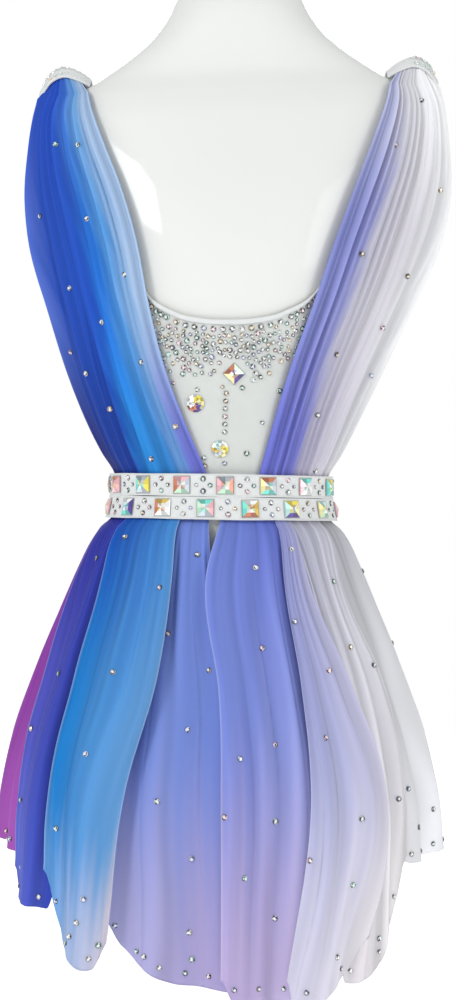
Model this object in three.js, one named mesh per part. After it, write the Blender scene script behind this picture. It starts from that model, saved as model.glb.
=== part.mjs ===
// Figure skating dress with a draped bodice, a stone belt and a petal skirt, on a limbless dress form.
// Millimetres. Z is up from the underside of the base, the dress's back faces -Y and its right side is at +X.
import * as THREE from "three";

// Heights and sizes of the dress and the form
const WAIST = 525;
const LEAN = 16;
const LEAN_FROM = 50;
const LEAN_TO = 300;
const SHOULDER_TILT = 1.7;
const WAIST_TILT = -0.9;
const SHOULDER_UP = 370;
const HEM_UP = -400;
const PANEL_IN = 1.7;
const PANEL_OUT = 2.8;
const SEAM = 0.3;
const STRAP_EASE = 2.8;
const SEAT_EASE = 3.6;
const SIDE_SEAM = 89.85;

// Dress form: the lower end is half an ellipsoid
const SEAT_UP = -195;
const SEAT_HALF_WIDTH = 144;
const SEAT_HALF_DEPTH = 99;
const SEAT_DROP = 88;
const FORM_SIDES = 30;

// Stand
const POLE_X = 52;
const POLE_RADIUS = 12;
const BASE_RADIUS = 130;
const BASE_THICK = 12;
const BASE_EDGE = 2;
const STAND_SIDES = 32;

// Drapes
const DRAPE_WALL = 1.5;
const DRAPE_SIDE = 80;
const BACK_LEFT_FOLDS = 6;
const BACK_RIGHT_FOLDS = 8;
const FRONT_FOLDS = 5;
const FOLD_COLUMNS = 4;

// Shoulder bands
const BAND_HALF_WIDTH = 14;
const BAND_THICK = 2;

// Belt
const BELT_IN = 8.8;
const BELT_WALL = 1.8;
const BELT_ROW = 20;
const BELT_BOTTOM = -17.4;
const BELT_STONES = 15;
const BELT_STONE = 15.6;
const STONE_RISE = 4;
const LOWER_SHIFT = 0.65;
const UPPER_SHIFT = 0.09;

// Skirt
const SKIRT_TOP = -3;
const PETAL_WALL = 1.2;
const SKIRT_FLARES = 20;
const PETAL_COLUMNS = 8;

const DEG = Math.PI / 180;
const clamp = (t) => Math.min(1, Math.max(0, t));
const smooth = (t) => clamp(t) * clamp(t) * (3 - 2 * clamp(t));
const mix = (a, b, t) => a + (b - a) * t;

// A smooth curve through one column of a table, along the column that is named first.
function curve(table, along, column) {
  const rows = [...table].sort((p, q) => p[along] - q[along]);
  const slope = (i) => {
    const low = rows[Math.max(0, i - 1)];
    const high = rows[Math.min(rows.length - 1, i + 1)];
    return (high[column] - low[column]) / (high[along] - low[along]);
  };
  return (at) => {
    const t = Math.min(rows[rows.length - 1][along], Math.max(rows[0][along], at));
    let i = 0;
    while (i < rows.length - 2 && t > rows[i + 1][along]) i += 1;
    const span = rows[i + 1][along] - rows[i][along];
    const s = (t - rows[i][along]) / span;
    const bend = s * s * (3 - 2 * s);
    const start = slope(i) * span * s * (1 - s) * (1 - s);
    const end = slope(i + 1) * span * s * s * (s - 1);
    return mix(rows[i][column], rows[i + 1][column], bend) + start + end;
  };
}

// Half width and half depth of the form's sections, and how far each lies forward, by height over the waist
const FORM = [
  { up: 497, width: 49, depth: 51, forward: 22 },
  { up: 480, width: 55, depth: 54, forward: 20 },
  { up: 462, width: 62, depth: 57, forward: 17 },
  { up: 446, width: 70, depth: 58, forward: 14 },
  { up: 428, width: 84, depth: 56, forward: 11 },
  { up: 409, width: 107, depth: 52, forward: 8 },
  { up: 391, width: 134, depth: 50, forward: 6 },
  { up: 383, width: 148, depth: 53, forward: 6 },
  { up: 375, width: 159, depth: 57, forward: 5 },
  { up: 366, width: 166, depth: 62, forward: 5 },
  { up: 352, width: 171, depth: 68, forward: 4 },
  { up: 330, width: 172, depth: 75, forward: 4 },
  { up: 300, width: 167, depth: 83, forward: 3 },
  { up: 262, width: 154, depth: 92, forward: 2 },
  { up: 225, width: 142, depth: 97, forward: 2 },
  { up: 186, width: 132, depth: 94, forward: 1 },
  { up: 150, width: 121, depth: 87, forward: 1 },
  { up: 100, width: 107, depth: 78, forward: 0 },
  { up: 50, width: 96, depth: 73, forward: 0 },
  { up: 0, width: 93, depth: 71.5, forward: 0 },
  { up: -50, width: 108, depth: 80, forward: 0 },
  { up: -100, width: 127, depth: 91, forward: 0 },
  { up: -150, width: 140, depth: 98, forward: 0 },
  { up: -195, width: 144, depth: 99, forward: 0 },
];
const formWidth = curve(FORM, "up", "width");
const formDepth = curve(FORM, "up", "depth");
const formForward = curve(FORM, "up", "forward");

// The wearer's stance: the upper body leans to the right and the shoulders tilt.
function pose([x, y, up]) {
  const lean = LEAN * smooth((up - LEAN_FROM) / (LEAN_TO - LEAN_FROM));
  const above = mix(WAIST_TILT, SHOULDER_TILT, smooth(up / SHOULDER_UP));
  const below = WAIST_TILT * (1 - smooth(up / HEM_UP));
  const tilt = up > 0 ? above : below;
  return [x + lean, y, WAIST + up + x * Math.tan(tilt * DEG)];
}

// Half sizes of the body at a height, moved out by a distance.
function bodySizes(up, out) {
  if (up >= SEAT_UP) return [formWidth(up) + out, formDepth(up) + out];
  const fall = clamp((SEAT_UP - up) / (SEAT_DROP + out));
  const round = Math.sqrt(1 - fall * fall);
  return [(SEAT_HALF_WIDTH + out) * round, (SEAT_HALF_DEPTH + out) * round];
}

// A point of the body: the angle is 0 at the back's centre and 90 at the right side.
function body(angle, up, out) {
  const [width, depth] = bodySizes(up, out);
  return [width * Math.sin(angle * DEG), formForward(up) - depth * Math.cos(angle * DEG), up];
}

const group = new THREE.Group();

// One closed body from points and triangles, turned so that it faces out.
function addSolid(name, points, faces) {
  let volume = 0;
  for (const [a, b, c] of faces) {
    const [p, q, r] = [points[a], points[b], points[c]];
    volume += p[0] * (q[1] * r[2] - q[2] * r[1]);
    volume += p[1] * (q[2] * r[0] - q[0] * r[2]);
    volume += p[2] * (q[0] * r[1] - q[1] * r[0]);
  }
  const order = volume < 0 ? faces.map(([a, b, c]) => [a, c, b]) : faces;
  const geometry = new THREE.BufferGeometry();
  geometry.setAttribute("position", new THREE.Float32BufferAttribute(points.flat(), 3));
  geometry.setIndex(order.flat());
  const mesh = new THREE.Mesh(geometry);
  mesh.name = name;
  group.add(mesh);
}

// Stations from 0 to 1 in equal steps.
const steps = (count) => Array.from({ length: count + 1 }, (_, i) => i / count);

// A wall: at(u, v, depth) gives the outer face at depth 0 and the plain inner face at the wall's thickness.
function addWall(name, us, vs, thick, at) {
  const columns = us.length;
  const rows = vs.length;
  const points = [];
  for (const depth of [0, thick]) {
    for (const v of vs) {
      for (const u of us) points.push(pose(at(u, v, depth)));
    }
  }
  const index = (side, j, i) => (side * rows + j) * columns + i;
  const faces = [];
  const quad = (a, b, c, d) => faces.push([a, b, c], [a, c, d]);
  const last = columns - 1;
  for (let i = 0; i < last; i += 1) {
    for (let j = 0; j < rows - 1; j += 1) {
      quad(index(0, j, i), index(0, j, i + 1), index(0, j + 1, i + 1), index(0, j + 1, i));
      quad(index(1, j, i), index(1, j + 1, i), index(1, j + 1, i + 1), index(1, j, i + 1));
    }
    quad(index(0, 0, i), index(1, 0, i), index(1, 0, i + 1), index(0, 0, i + 1));
    quad(index(0, rows - 1, i), index(0, rows - 1, i + 1), index(1, rows - 1, i + 1), index(1, rows - 1, i));
  }
  for (let j = 0; j < rows - 1; j += 1) {
    quad(index(0, j, 0), index(0, j + 1, 0), index(1, j + 1, 0), index(1, j, 0));
    quad(index(0, j, last), index(1, j, last), index(1, j + 1, last), index(0, j + 1, last));
  }
  addSolid(name, points, faces);
}

// A hollow ring through closed loops of equal count, given in order round its wall.
function addRing(name, loops) {
  const sides = loops[0].length;
  const faces = [];
  for (let j = 0; j < loops.length; j += 1) {
    const next = (j + 1) % loops.length;
    for (let k = 0; k < sides; k += 1) {
      const after = (k + 1) % sides;
      const [a, b, c, d] = [j * sides + k, j * sides + after, next * sides + after, next * sides + k];
      faces.push([a, b, c], [a, c, d]);
    }
  }
  addSolid(name, loops.flat(), faces);
}

// A solid through rings of equal count, closed by a point or a flat centre at each end.
function addLoft(name, rings, first, last) {
  const sides = rings[0].length;
  const points = [...rings.flat(), first, last];
  const faces = [];
  for (let k = 0; k < sides; k += 1) {
    const next = (k + 1) % sides;
    for (let j = 0; j < rings.length - 1; j += 1) {
      const [a, b] = [j * sides + k, j * sides + next];
      const [c, d] = [b + sides, a + sides];
      faces.push([a, b, c], [a, c, d]);
    }
    const top = (rings.length - 1) * sides;
    faces.push([rings.length * sides, next, k], [rings.length * sides + 1, top + k, top + next]);
  }
  addSolid(name, points, faces);
}

// Dress form
const FORM_UPS = [
  -276, -258, -230, -198, -165, -132, -100, -68, -36, -5, 28, 60, 94, 128, 162, 196, 230, 264, 296, 325, 350, 366, 378,
  387, 398, 413, 430, 448, 470, 490,
];
const ring = (angleOf) => Array.from({ length: FORM_SIDES }, (_, k) => angleOf((k * 360) / FORM_SIDES));
const formRings = FORM_UPS.map((up) => ring((angle) => pose(body(angle, up, 0))));
const neckTop = (angle) => {
  const [x, y] = body(angle, 497, 0);
  return pose([0.82 * x, 4 + 0.82 * y, 499]);
};
formRings.push(ring(neckTop));
addLoft("form_torso", formRings, pose([0, 0, SEAT_UP - SEAT_DROP]), pose([0, formForward(497), 501]));

// Stand: a pole up to the form's underside, beside the gusset, and a round base
const circle = (radius, x, heightOf) =>
  Array.from({ length: STAND_SIDES }, (_, k) => {
    const angle = (k * 2 * Math.PI) / STAND_SIDES;
    const at = [x + radius * Math.cos(angle), radius * Math.sin(angle)];
    return [...at, heightOf(...at)];
  });
const seatUnder = (x, y) => {
  const round = 1 - (x / SEAT_HALF_WIDTH) ** 2 - (y / SEAT_HALF_DEPTH) ** 2;
  return pose([x, y, SEAT_UP - SEAT_DROP * Math.sqrt(Math.max(0, round))])[2];
};
const poleTop = (x, y) => seatUnder(x, y) - SEAM;
const poleFoot = () => BASE_THICK + SEAM;
addLoft(
  "form_pole",
  [circle(POLE_RADIUS, POLE_X, poleFoot), circle(POLE_RADIUS, POLE_X, poleTop)],
  [POLE_X, 0, BASE_THICK + SEAM],
  [POLE_X, 0, poleTop(POLE_X, 0)],
);
addLoft(
  "form_base",
  [
    circle(BASE_RADIUS, 0, () => 0),
    circle(BASE_RADIUS, 0, () => BASE_THICK - BASE_EDGE),
    circle(BASE_RADIUS - BASE_EDGE, 0, () => BASE_THICK),
  ],
  [0, 0, 0],
  [0, 0, BASE_THICK],
);

// Bodice panels: the top edge runs from the neckline's centre up the strap, then down the armhole to the side.
const BACK_TOP = [
  { u: 0, angle: 0, up: 157 },
  { u: 0.12, angle: 11, up: 158.5 },
  { u: 0.24, angle: 22, up: 165 },
  { u: 0.36, angle: 34, up: 184 },
  { u: 0.47, angle: 42, up: 232 },
  { u: 0.57, angle: 46, up: 294 },
  { u: 0.66, angle: 51, up: 352 },
  { u: 0.76, angle: 63, up: 352 },
  { u: 0.85, angle: 67, up: 305 },
  { u: 0.93, angle: 75, up: 262 },
  { u: 1, angle: SIDE_SEAM, up: 240 },
];
const FRONT_TOP = [
  { u: 0, angle: 0, up: 196 },
  { u: 0.12, angle: 10, up: 203 },
  { u: 0.24, angle: 21, up: 218 },
  { u: 0.36, angle: 32, up: 240 },
  { u: 0.47, angle: 41, up: 272 },
  { u: 0.57, angle: 46, up: 312 },
  { u: 0.66, angle: 51, up: 352 },
  { u: 0.76, angle: 63, up: 352 },
  { u: 0.85, angle: 67, up: 305 },
  { u: 0.93, angle: 75, up: 262 },
  { u: 1, angle: SIDE_SEAM, up: 240 },
];
const PANEL_US = [-1, -0.93, -0.85, -0.76, -0.66, -0.57, -0.47, -0.36, -0.24, -0.12, 0];
const BOTH_US = [...PANEL_US, ...PANEL_US.slice(0, -1).map((u) => -u).reverse()];

function panelPoint(table, u, v, out, front) {
  const row = table.find((r) => Math.abs(r.u - Math.abs(u)) < 1e-6);
  const angle = Math.sign(u) * mix(SIDE_SEAM * Math.abs(u), row.angle, smooth(v) * 0.5 + v * 0.5);
  const up = mix(SEAM / 2, row.up, v);
  return body(front ? 180 - angle : angle, up, out + STRAP_EASE * smooth((up - 200) / 80));
}
for (const [name, table, front] of [
  ["leotard_back", BACK_TOP, false],
  ["leotard_front", FRONT_TOP, true],
]) {
  const at = (u, v, depth) => panelPoint(table, u, v, PANEL_OUT - depth, front);
  addWall(name, BOTH_US, steps(7), PANEL_OUT - PANEL_IN, at);
}

// Neckline bindings: a strip of the panel's own points along its top edge, moved out
const BINDING = 5;
const BINDING_THICK = 1.1;
for (const [name, table, front] of [
  ["neck_binding_back", BACK_TOP, false],
  ["neck_binding_front", FRONT_TOP, true],
]) {
  const us = BOTH_US.filter((u) => Math.abs(u) < 0.6);
  const at = (u, v, depth) => {
    const top = table.find((r) => Math.abs(r.u - Math.abs(u)) < 1e-6).up;
    return panelPoint(table, u, 1 - (BINDING / top) * v, PANEL_OUT + 2 * SEAM + BINDING_THICK - depth, front);
  };
  addWall(name, us, [0, 1], BINDING_THICK, at);
}

// Brief: back, front and gusset, with leg openings
const BRIEF_EDGE = [
  { u: 0, angle: 0, up: -252 },
  { u: 0.14, angle: 11.5, up: -252 },
  { u: 0.28, angle: 23, up: -252 },
  { u: 0.44, angle: 36, up: -240 },
  { u: 0.58, angle: 49, up: -222 },
  { u: 0.72, angle: 63, up: -199 },
  { u: 0.86, angle: 76, up: -177 },
  { u: 1, angle: SIDE_SEAM, up: -158 },
];
const BRIEF_US = [-1, -0.86, -0.72, -0.58, -0.44, -0.28, -0.14, 0, 0.14, 0.28, 0.44, 0.58, 0.72, 0.86, 1];
const BRIEF_VS = [0, 0.07, 0.16, 0.33, 0.5, 0.67, 0.84, 1];
for (const [name, front] of [
  ["brief_back", false],
  ["brief_front", true],
]) {
  const at = (u, v, depth) => {
    const row = BRIEF_EDGE.find((r) => Math.abs(r.u - Math.abs(u)) < 1e-6);
    const angle = Math.sign(u) * mix(SIDE_SEAM * Math.abs(u), row.angle, v);
    const up = mix(-SEAM / 2, row.up, v);
    return body(front ? 180 - angle : angle, up, PANEL_OUT + SEAT_EASE * smooth((-60 - up) / 70) - depth);
  };
  addWall(name, BRIEF_US, BRIEF_VS, PANEL_OUT - PANEL_IN, at);
}
const GUSSET_WAIST = 28;
addWall("brief_gusset", [-1, -0.5, 0, 0.5, 1], steps(8), PANEL_OUT - PANEL_IN, (u, v, depth) => {
  const out = PANEL_OUT + SEAT_EASE - depth;
  const [wide, deep] = bodySizes(-252, out);
  const edge = wide * Math.sin(23 * DEG);
  const x = u * mix(GUSSET_WAIST, edge, (2 * v - 1) ** 2);
  const y = (2 * v - 1) * (deep * Math.sqrt(1 - (x / wide) ** 2) - 0.5);
  const round = 1 - (x / (SEAT_HALF_WIDTH + out)) ** 2 - (y / (SEAT_HALF_DEPTH + out)) ** 2;
  return [x, y, SEAT_UP - (SEAT_DROP + out) * Math.sqrt(round)];
});

// Shoulder bands: an arch across each shoulder, from the neck end to the arm end
const BAND = [
  { s: 0, x: 137, up: 395 },
  { s: 0.25, x: 148, up: 403 },
  { s: 0.5, x: 162, up: 408 },
  { s: 0.75, x: 175, up: 402 },
  { s: 1, x: 185, up: 386 },
];
const bandX = curve(BAND, "s", "x");
const bandUp = curve(BAND, "s", "up");
const bandDroop = (s) => 2 + 6 * Math.sin(Math.PI * clamp(0.08 + s * 0.75));
const BAND_FORWARD = 5;

function bandPoint(side, s, t, depth) {
  const rise = [bandX(s + 0.01) - bandX(s - 0.01), bandUp(s + 0.01) - bandUp(s - 0.01)];
  const length = Math.hypot(...rise);
  const x = bandX(s) - (-rise[1] / length) * depth;
  const up = bandUp(s) - (rise[0] / length) * depth - bandDroop(s) * t * t;
  return [side * x, BAND_FORWARD + BAND_HALF_WIDTH * t, up];
}
for (const [name, side] of [
  ["shoulder_band_left", -1],
  ["shoulder_band_right", 1],
]) {
  addWall(name, steps(10), [-1, -0.5, 0, 0.5, 1], BAND_THICK, (s, t, depth) => bandPoint(side, s, t, depth));
}

// Drapes: half widths of the inner and outer edges, and the stand-off at the inner edge, by height
const DRAPE = [
  { up: 376, left: 138, right: 138, outer: 186, lift: 9, fold: 1.2 },
  { up: 356, left: 133, right: 133, outer: 190.5, lift: 9.8, fold: 1.9 },
  { up: 322, left: 121, right: 121, outer: 194, lift: 10.8, fold: 2.6 },
  { up: 278, left: 104, right: 104, outer: 195, lift: 11.2, fold: 3.2 },
  { up: 228, left: 87, right: 88, outer: 187, lift: 10.6, fold: 3.2 },
  { up: 174, left: 72, right: 74, outer: 167, lift: 9.4, fold: 3 },
  { up: 120, left: 54, right: 59, outer: 146, lift: 8.7, fold: 2.4 },
  { up: 72, left: 34, right: 47, outer: 125, lift: 8, fold: 1.7 },
  { up: 42, left: 21, right: 39, outer: 110, lift: 7.2, fold: 1.2 },
  { up: 24, left: 13.5, right: 34, outer: 98.8, lift: 6.6, fold: 0.9 },
  { up: 11, left: 12, right: 33, outer: 98, lift: 6.4, fold: 0.8 },
];
const DRAPE_TOP_FOLD = 0.7;
const foldWave = (t) => Math.cos(2 * Math.PI * t) * 0.78 + Math.cos(4 * Math.PI * t) * 0.22;

function drapePoint(side, inner, folds, u, row, depth, front) {
  const wave = foldWave(u * folds + 0.12 * Math.sin(row * 0.9 + u * 5));
  const turn = (p) => (front ? [p[0], 2 * formForward(p[2]) - p[1], p[2]] : p);
  if (row < 0) {
    const s = mix(0.1, 0.86, u);
    const [x, , up] = bandPoint(side, s, 0.78, BAND_THICK + 7 * SEAM);
    const y = BAND_FORWARD - BAND_HALF_WIDTH * 0.78 - DRAPE_TOP_FOLD * wave + depth;
    return [x, front ? 2 * BAND_FORWARD - y : y, up];
  }
  const at = DRAPE[row];
  const [width] = bodySizes(at.up, 0);
  const from = at[inner] / (width + at.lift);
  const to = Math.sin(DRAPE_SIDE * DEG);
  const even = mix(Math.asin(from), DRAPE_SIDE * DEG, u);
  const angle = mix(even, Math.asin(mix(from, to, u)), 0.5);
  const spread = at.outer / to - width - at.lift;
  const out = at.lift + spread * u * u + at.fold * wave - depth;
  return turn(body((side * angle) / DEG, at.up, out));
}
for (const [name, side, inner, folds, front] of [
  ["drape_back_left", -1, "left", BACK_LEFT_FOLDS, false],
  ["drape_back_right", 1, "right", BACK_RIGHT_FOLDS, false],
  ["drape_front_left", -1, "right", FRONT_FOLDS, true],
  ["drape_front_right", 1, "right", FRONT_FOLDS, true],
]) {
  const rows = Array.from({ length: DRAPE.length + 1 }, (_, j) => j - 1);
  const at = (u, row, depth) => drapePoint(side, inner, folds, u, row, depth, front);
  addWall(name, steps(folds * FOLD_COLUMNS), rows, DRAPE_WALL, at);
}

// Belt: two rows of square stones, about half a pitch apart, raised in each row's outer points
const ARC_STEPS = 720;
function beltAngles() {
  const [width, depth] = bodySizes(0, BELT_IN + BELT_WALL);
  const lengths = [0];
  for (let k = 1; k <= ARC_STEPS; k += 1) {
    const t = ((k - 0.5) * 2 * Math.PI) / ARC_STEPS;
    const along = Math.hypot(width * Math.cos(t), depth * Math.sin(t)) * ((2 * Math.PI) / ARC_STEPS);
    lengths.push(lengths[k - 1] + along);
  }
  return lengths;
}
const ARC = beltAngles();
const BELT_LENGTH = ARC[ARC_STEPS];
function angleAlong(length) {
  const target = ((length % BELT_LENGTH) + BELT_LENGTH) % BELT_LENGTH;
  let k = 1;
  while (ARC[k] < target) k += 1;
  const part = (target - ARC[k - 1]) / (ARC[k] - ARC[k - 1]);
  return ((k - 1 + part) * 360) / ARC_STEPS;
}
const PITCH = BELT_LENGTH / BELT_STONES;
for (const [name, bottom, shift] of [
  ["belt_lower", BELT_BOTTOM, LOWER_SHIFT],
  ["belt_upper", BELT_BOTTOM + BELT_ROW + SEAM, UPPER_SHIFT],
]) {
  const columns = [];
  for (let k = 0; k < BELT_STONES; k += 1) {
    for (const along of [-BELT_STONE / 2, 0, BELT_STONE / 2, PITCH / 2]) {
      columns.push({ at: angleAlong((k + shift) * PITCH + along), centre: along === 0 });
    }
  }
  const margin = (BELT_ROW - BELT_STONE) / 2;
  const heights = [0, margin, BELT_ROW / 2, BELT_ROW - margin, BELT_ROW];
  const outerLoop = (height) =>
    columns.map(({ at, centre }) => {
      const raised = centre && height === BELT_ROW / 2 ? STONE_RISE : 0;
      return pose(body(at, bottom + height, BELT_IN + BELT_WALL + raised));
    });
  const innerLoop = (height) => columns.map(({ at }) => pose(body(at, bottom + height, BELT_IN)));
  addRing(name, [...heights.map(outerLoop), innerLoop(BELT_ROW), innerLoop(0)]);
}

// Skirt: half width and half depth of the innermost layer, the step between layers and the flares, by height
const SKIRT = [
  { up: -3, width: 98, depth: 76.6, step: 1.5, flare: 0 },
  { up: -17.5, width: 101.6, depth: 78.6, step: 1.5, flare: 0 },
  { up: -26, width: 111, depth: 85, step: 2.2, flare: 0.5 },
  { up: -40, width: 120, depth: 92, step: 3.2, flare: 1.2 },
  { up: -60, width: 129, depth: 99, step: 4.2, flare: 2 },
  { up: -93, width: 142.5, depth: 109, step: 5.2, flare: 3.2 },
  { up: -130, width: 157.5, depth: 121, step: 6, flare: 4.4 },
  { up: -167, width: 171, depth: 132, step: 6.5, flare: 5.4 },
  { up: -205, width: 184, depth: 142, step: 7, flare: 6.3 },
  { up: -242, width: 193.5, depth: 151, step: 7, flare: 7 },
  { up: -279, width: 199.5, depth: 157, step: 7, flare: 7.5 },
  { up: -330, width: 202, depth: 161, step: 7, flare: 8 },
  { up: -420, width: 205, depth: 164, step: 7, flare: 8.5 },
];
const skirtWidth = curve(SKIRT, "up", "width");
const skirtDepth = curve(SKIRT, "up", "depth");
const skirtStep = curve(SKIRT, "up", "step");
const skirtFlare = curve(SKIRT, "up", "flare");

// Petals, right round from the left back. Each side edge has its angles at five shares of the way down, and the hem
// has its heights at the left end, the lowest place and the right end.
const EDGE_SHARES = [0, 0.16, 0.38, 0.62, 1];
const petal = (name, layer, left, right, hem, low) => ({ name, layer, left, right, hem, low });
const PETALS = [
  petal("petal_magenta", 0, [-112, -113, -113, -113, -114], [-74, -66, -60, -57, -54], [-298, -311, -313], 0.6),
  petal("petal_royal", 1, [-84, -72.5, -66, -63.9, -60.5], [-48, -43, -43, -43, -44.5], [-338, -350, -352], 0.6),
  petal("petal_azure", 2, [-57.5, -48, -46, -46, -45], [-21.4, -17.5, -17.5, -23, -27], [-332, -392, -386], 0.82),
  petal("petal_periwinkle_left", 0, [-30, -29, -30, -31, -28.5], [-6, -3, 3, 4, 6], [-362, -404, -407], 0.62),
  petal("petal_periwinkle_right", 1, [-0.5, -5.6, -0.7, 0, 0], [30, 29.5, 29, 27, 23], [-410, -416, -415], 0.5),
  petal("petal_lavender", 2, [28.5, 22.3, 21.5, 20, 14], [36, 32.7, 37.9, 42.4, 30], [-414, -416, -384], 0.3),
  petal("petal_pale", 1, [31.5, 34, 34, 32, 28], [62, 51, 53.5, 51.5, 49], [-404, -407, -322], 0.2),
  petal("petal_white", 0, [52, 48, 47, 46, 45], [110, 111, 112, 112, 113], [-314, -316, -288], 0.3),
  petal("petal_front_1", 1, [99, 100, 101, 101.5, 102], [138, 139.5, 141, 141.5, 142], [-288, -322, -302], 0.5),
  petal("petal_front_2", 0, [130, 130.5, 131, 131, 131], [168, 169, 170, 170.5, 171], [-302, -334, -312], 0.5),
  petal("petal_front_3", 1, [158, 158, 158, 158.5, 159], [202, 202, 202, 201.5, 201], [-312, -344, -312], 0.5),
  petal("petal_front_4", 0, [192, 191, 190, 189.5, 189], [230, 229.5, 229, 229, 229], [-312, -334, -302], 0.5),
  petal("petal_front_5", 1, [222, 220.5, 219, 218.5, 218], [261, 260, 259, 258.5, 258], [-302, -322, -288], 0.5),
];
const PETAL_UPS = [-3, -17.5, -27, -48, -90];
const PETAL_SHARES = [0.22, 0.45, 0.7, 0.88, 1];
const CORNER = 0.12;
const CORNER_RISE = 16;

// A side edge's angle by the share of the way down.
const edgeAngle = (angles) =>
  curve(
    angles.map((angle, k) => ({ down: EDGE_SHARES[k], angle })),
    "down",
    "angle",
  );

function skirtPoint(angle, up, layer, depth) {
  const turn = angle * DEG;
  const flare = Math.sin(SKIRT_FLARES * turn + 0.7) * 0.7 + Math.sin((SKIRT_FLARES - 7) * turn + 2.1) * 0.3;
  const out = layer * skirtStep(up) + skirtFlare(up) * flare - depth;
  return [(skirtWidth(up) + out) * Math.sin(turn), -(skirtDepth(up) + out) * Math.cos(turn), up];
}
for (const { name, layer, left, right, hem, low } of PETALS) {
  const [leftEnd, lowest, rightEnd] = hem;
  const [leftAngle, rightAngle] = [edgeAngle(left), edgeAngle(right)];
  const hemUp = (u) => {
    const reach = u < low ? u / low : (1 - u) / (1 - low);
    const corner = CORNER_RISE * (1 - smooth(Math.min(u, 1 - u) / CORNER));
    return mix(u < low ? leftEnd : rightEnd, lowest, Math.sin((reach * Math.PI) / 2)) + corner;
  };
  const rows = Array.from({ length: PETAL_UPS.length + PETAL_SHARES.length }, (_, j) => j);
  const at = (u, j, depth) => {
    const fixed = PETAL_UPS[Math.min(j, PETAL_UPS.length - 1)];
    const up = j < PETAL_UPS.length ? fixed : mix(fixed, hemUp(u), PETAL_SHARES[j - PETAL_UPS.length]);
    const down = (SKIRT_TOP - up) / (SKIRT_TOP - lowest);
    return skirtPoint(mix(leftAngle(down), rightAngle(down), u), up, layer, depth);
  };
  addWall(name, steps(PETAL_COLUMNS), rows, PETAL_WALL, at);
}

// Large stones on the bodice's back: a square on its point and two rounds, flat behind
const STONES = [
  { name: "stone_square", x: 9, up: 111, radius: 10, sides: 4 },
  { name: "stone_round_upper", x: -23.5, up: 85, radius: 8, sides: 12 },
  { name: "stone_round_lower", x: -1, up: 45, radius: 7.6, sides: 12 },
];
for (const stone of STONES) {
  const at = (radius, k, out) => {
    const turn = (k * 2 * Math.PI) / stone.sides;
    const up = stone.up + radius * Math.cos(turn);
    const angle = Math.asin((stone.x + radius * Math.sin(turn)) / bodySizes(up, out)[0]) / DEG;
    return pose(body(angle, up, out));
  };
  const sides = Array.from({ length: stone.sides }, (_, k) => k);
  const ringAt = (share, out) => sides.map((k) => at(stone.radius * share, k, out));
  const floor = PANEL_OUT + SEAM - 0.1;
  const rings = [ringAt(1, floor), ringAt(1, floor + 1.2), ringAt(0.55, floor + 4)];
  addLoft(stone.name, rings, at(0, 0, floor), at(0, 0, floor + 4));
}

export default group;
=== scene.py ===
"""Looks of a figure skating dress on a limbless dress form. The tables are in millimetres."""

import math
import random

import bpy
import numpy as np
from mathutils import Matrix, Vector


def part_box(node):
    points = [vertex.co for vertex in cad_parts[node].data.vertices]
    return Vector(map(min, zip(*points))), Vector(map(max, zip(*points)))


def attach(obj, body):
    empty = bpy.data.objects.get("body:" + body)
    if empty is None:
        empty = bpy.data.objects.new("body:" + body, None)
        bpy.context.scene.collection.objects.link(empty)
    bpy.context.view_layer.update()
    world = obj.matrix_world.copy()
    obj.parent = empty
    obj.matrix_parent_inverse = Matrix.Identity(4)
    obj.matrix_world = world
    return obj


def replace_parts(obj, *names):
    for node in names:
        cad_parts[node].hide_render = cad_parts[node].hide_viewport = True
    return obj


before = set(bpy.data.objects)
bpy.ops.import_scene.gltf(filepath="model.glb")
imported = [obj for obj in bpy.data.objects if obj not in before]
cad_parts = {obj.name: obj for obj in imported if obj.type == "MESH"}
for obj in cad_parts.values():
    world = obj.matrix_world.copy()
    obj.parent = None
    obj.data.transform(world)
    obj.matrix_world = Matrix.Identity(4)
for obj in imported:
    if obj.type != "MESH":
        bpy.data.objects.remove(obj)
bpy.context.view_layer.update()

# Stance of the wearer, the dress form and the panels' distance from it
MM = 0.001
WAIST = 525.0
LEAN, LEAN_FROM, LEAN_TO = 16.0, 50.0, 300.0
SHOULDER_TILT, WAIST_TILT, SHOULDER_UP, HEM_UP = 1.7, -0.9, 370.0, -400.0
PANEL_OUT, SEAM = 2.8, 0.3
STRAP_EASE, SEAT_EASE = 2.8, 3.6
SIDE_SEAM = 89.85
SEAT_UP, SEAT_HALF_WIDTH, SEAT_HALF_DEPTH, SEAT_DROP = -195.0, 144.0, 99.0, 88.0

# View and surround, in metres; the centre and the height of the view in pixels
MIDDLE_X = 0.006
CAMERA = (MIDDLE_X, -1.5, 0.525)
VIEW_HEIGHT = 0.93
VIEW_PIXELS = 1000
VIEW_CENTRE = (228.0, 500.0)
SENSOR = 36
AMBIENT = 0.6

# Stand
BASE_RADIUS, BASE_THICK = 130.0, 12.0
POLE_X, POLE_RADIUS, POLE_EASE = 52.0, 12.0, 1.2


def clamp(t):
    return np.clip(t, 0.0, 1.0)


def smooth(t):
    t = clamp(t)
    return t * t * (3 - 2 * t)


def mix(a, b, t):
    return a + (b - a) * t


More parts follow.
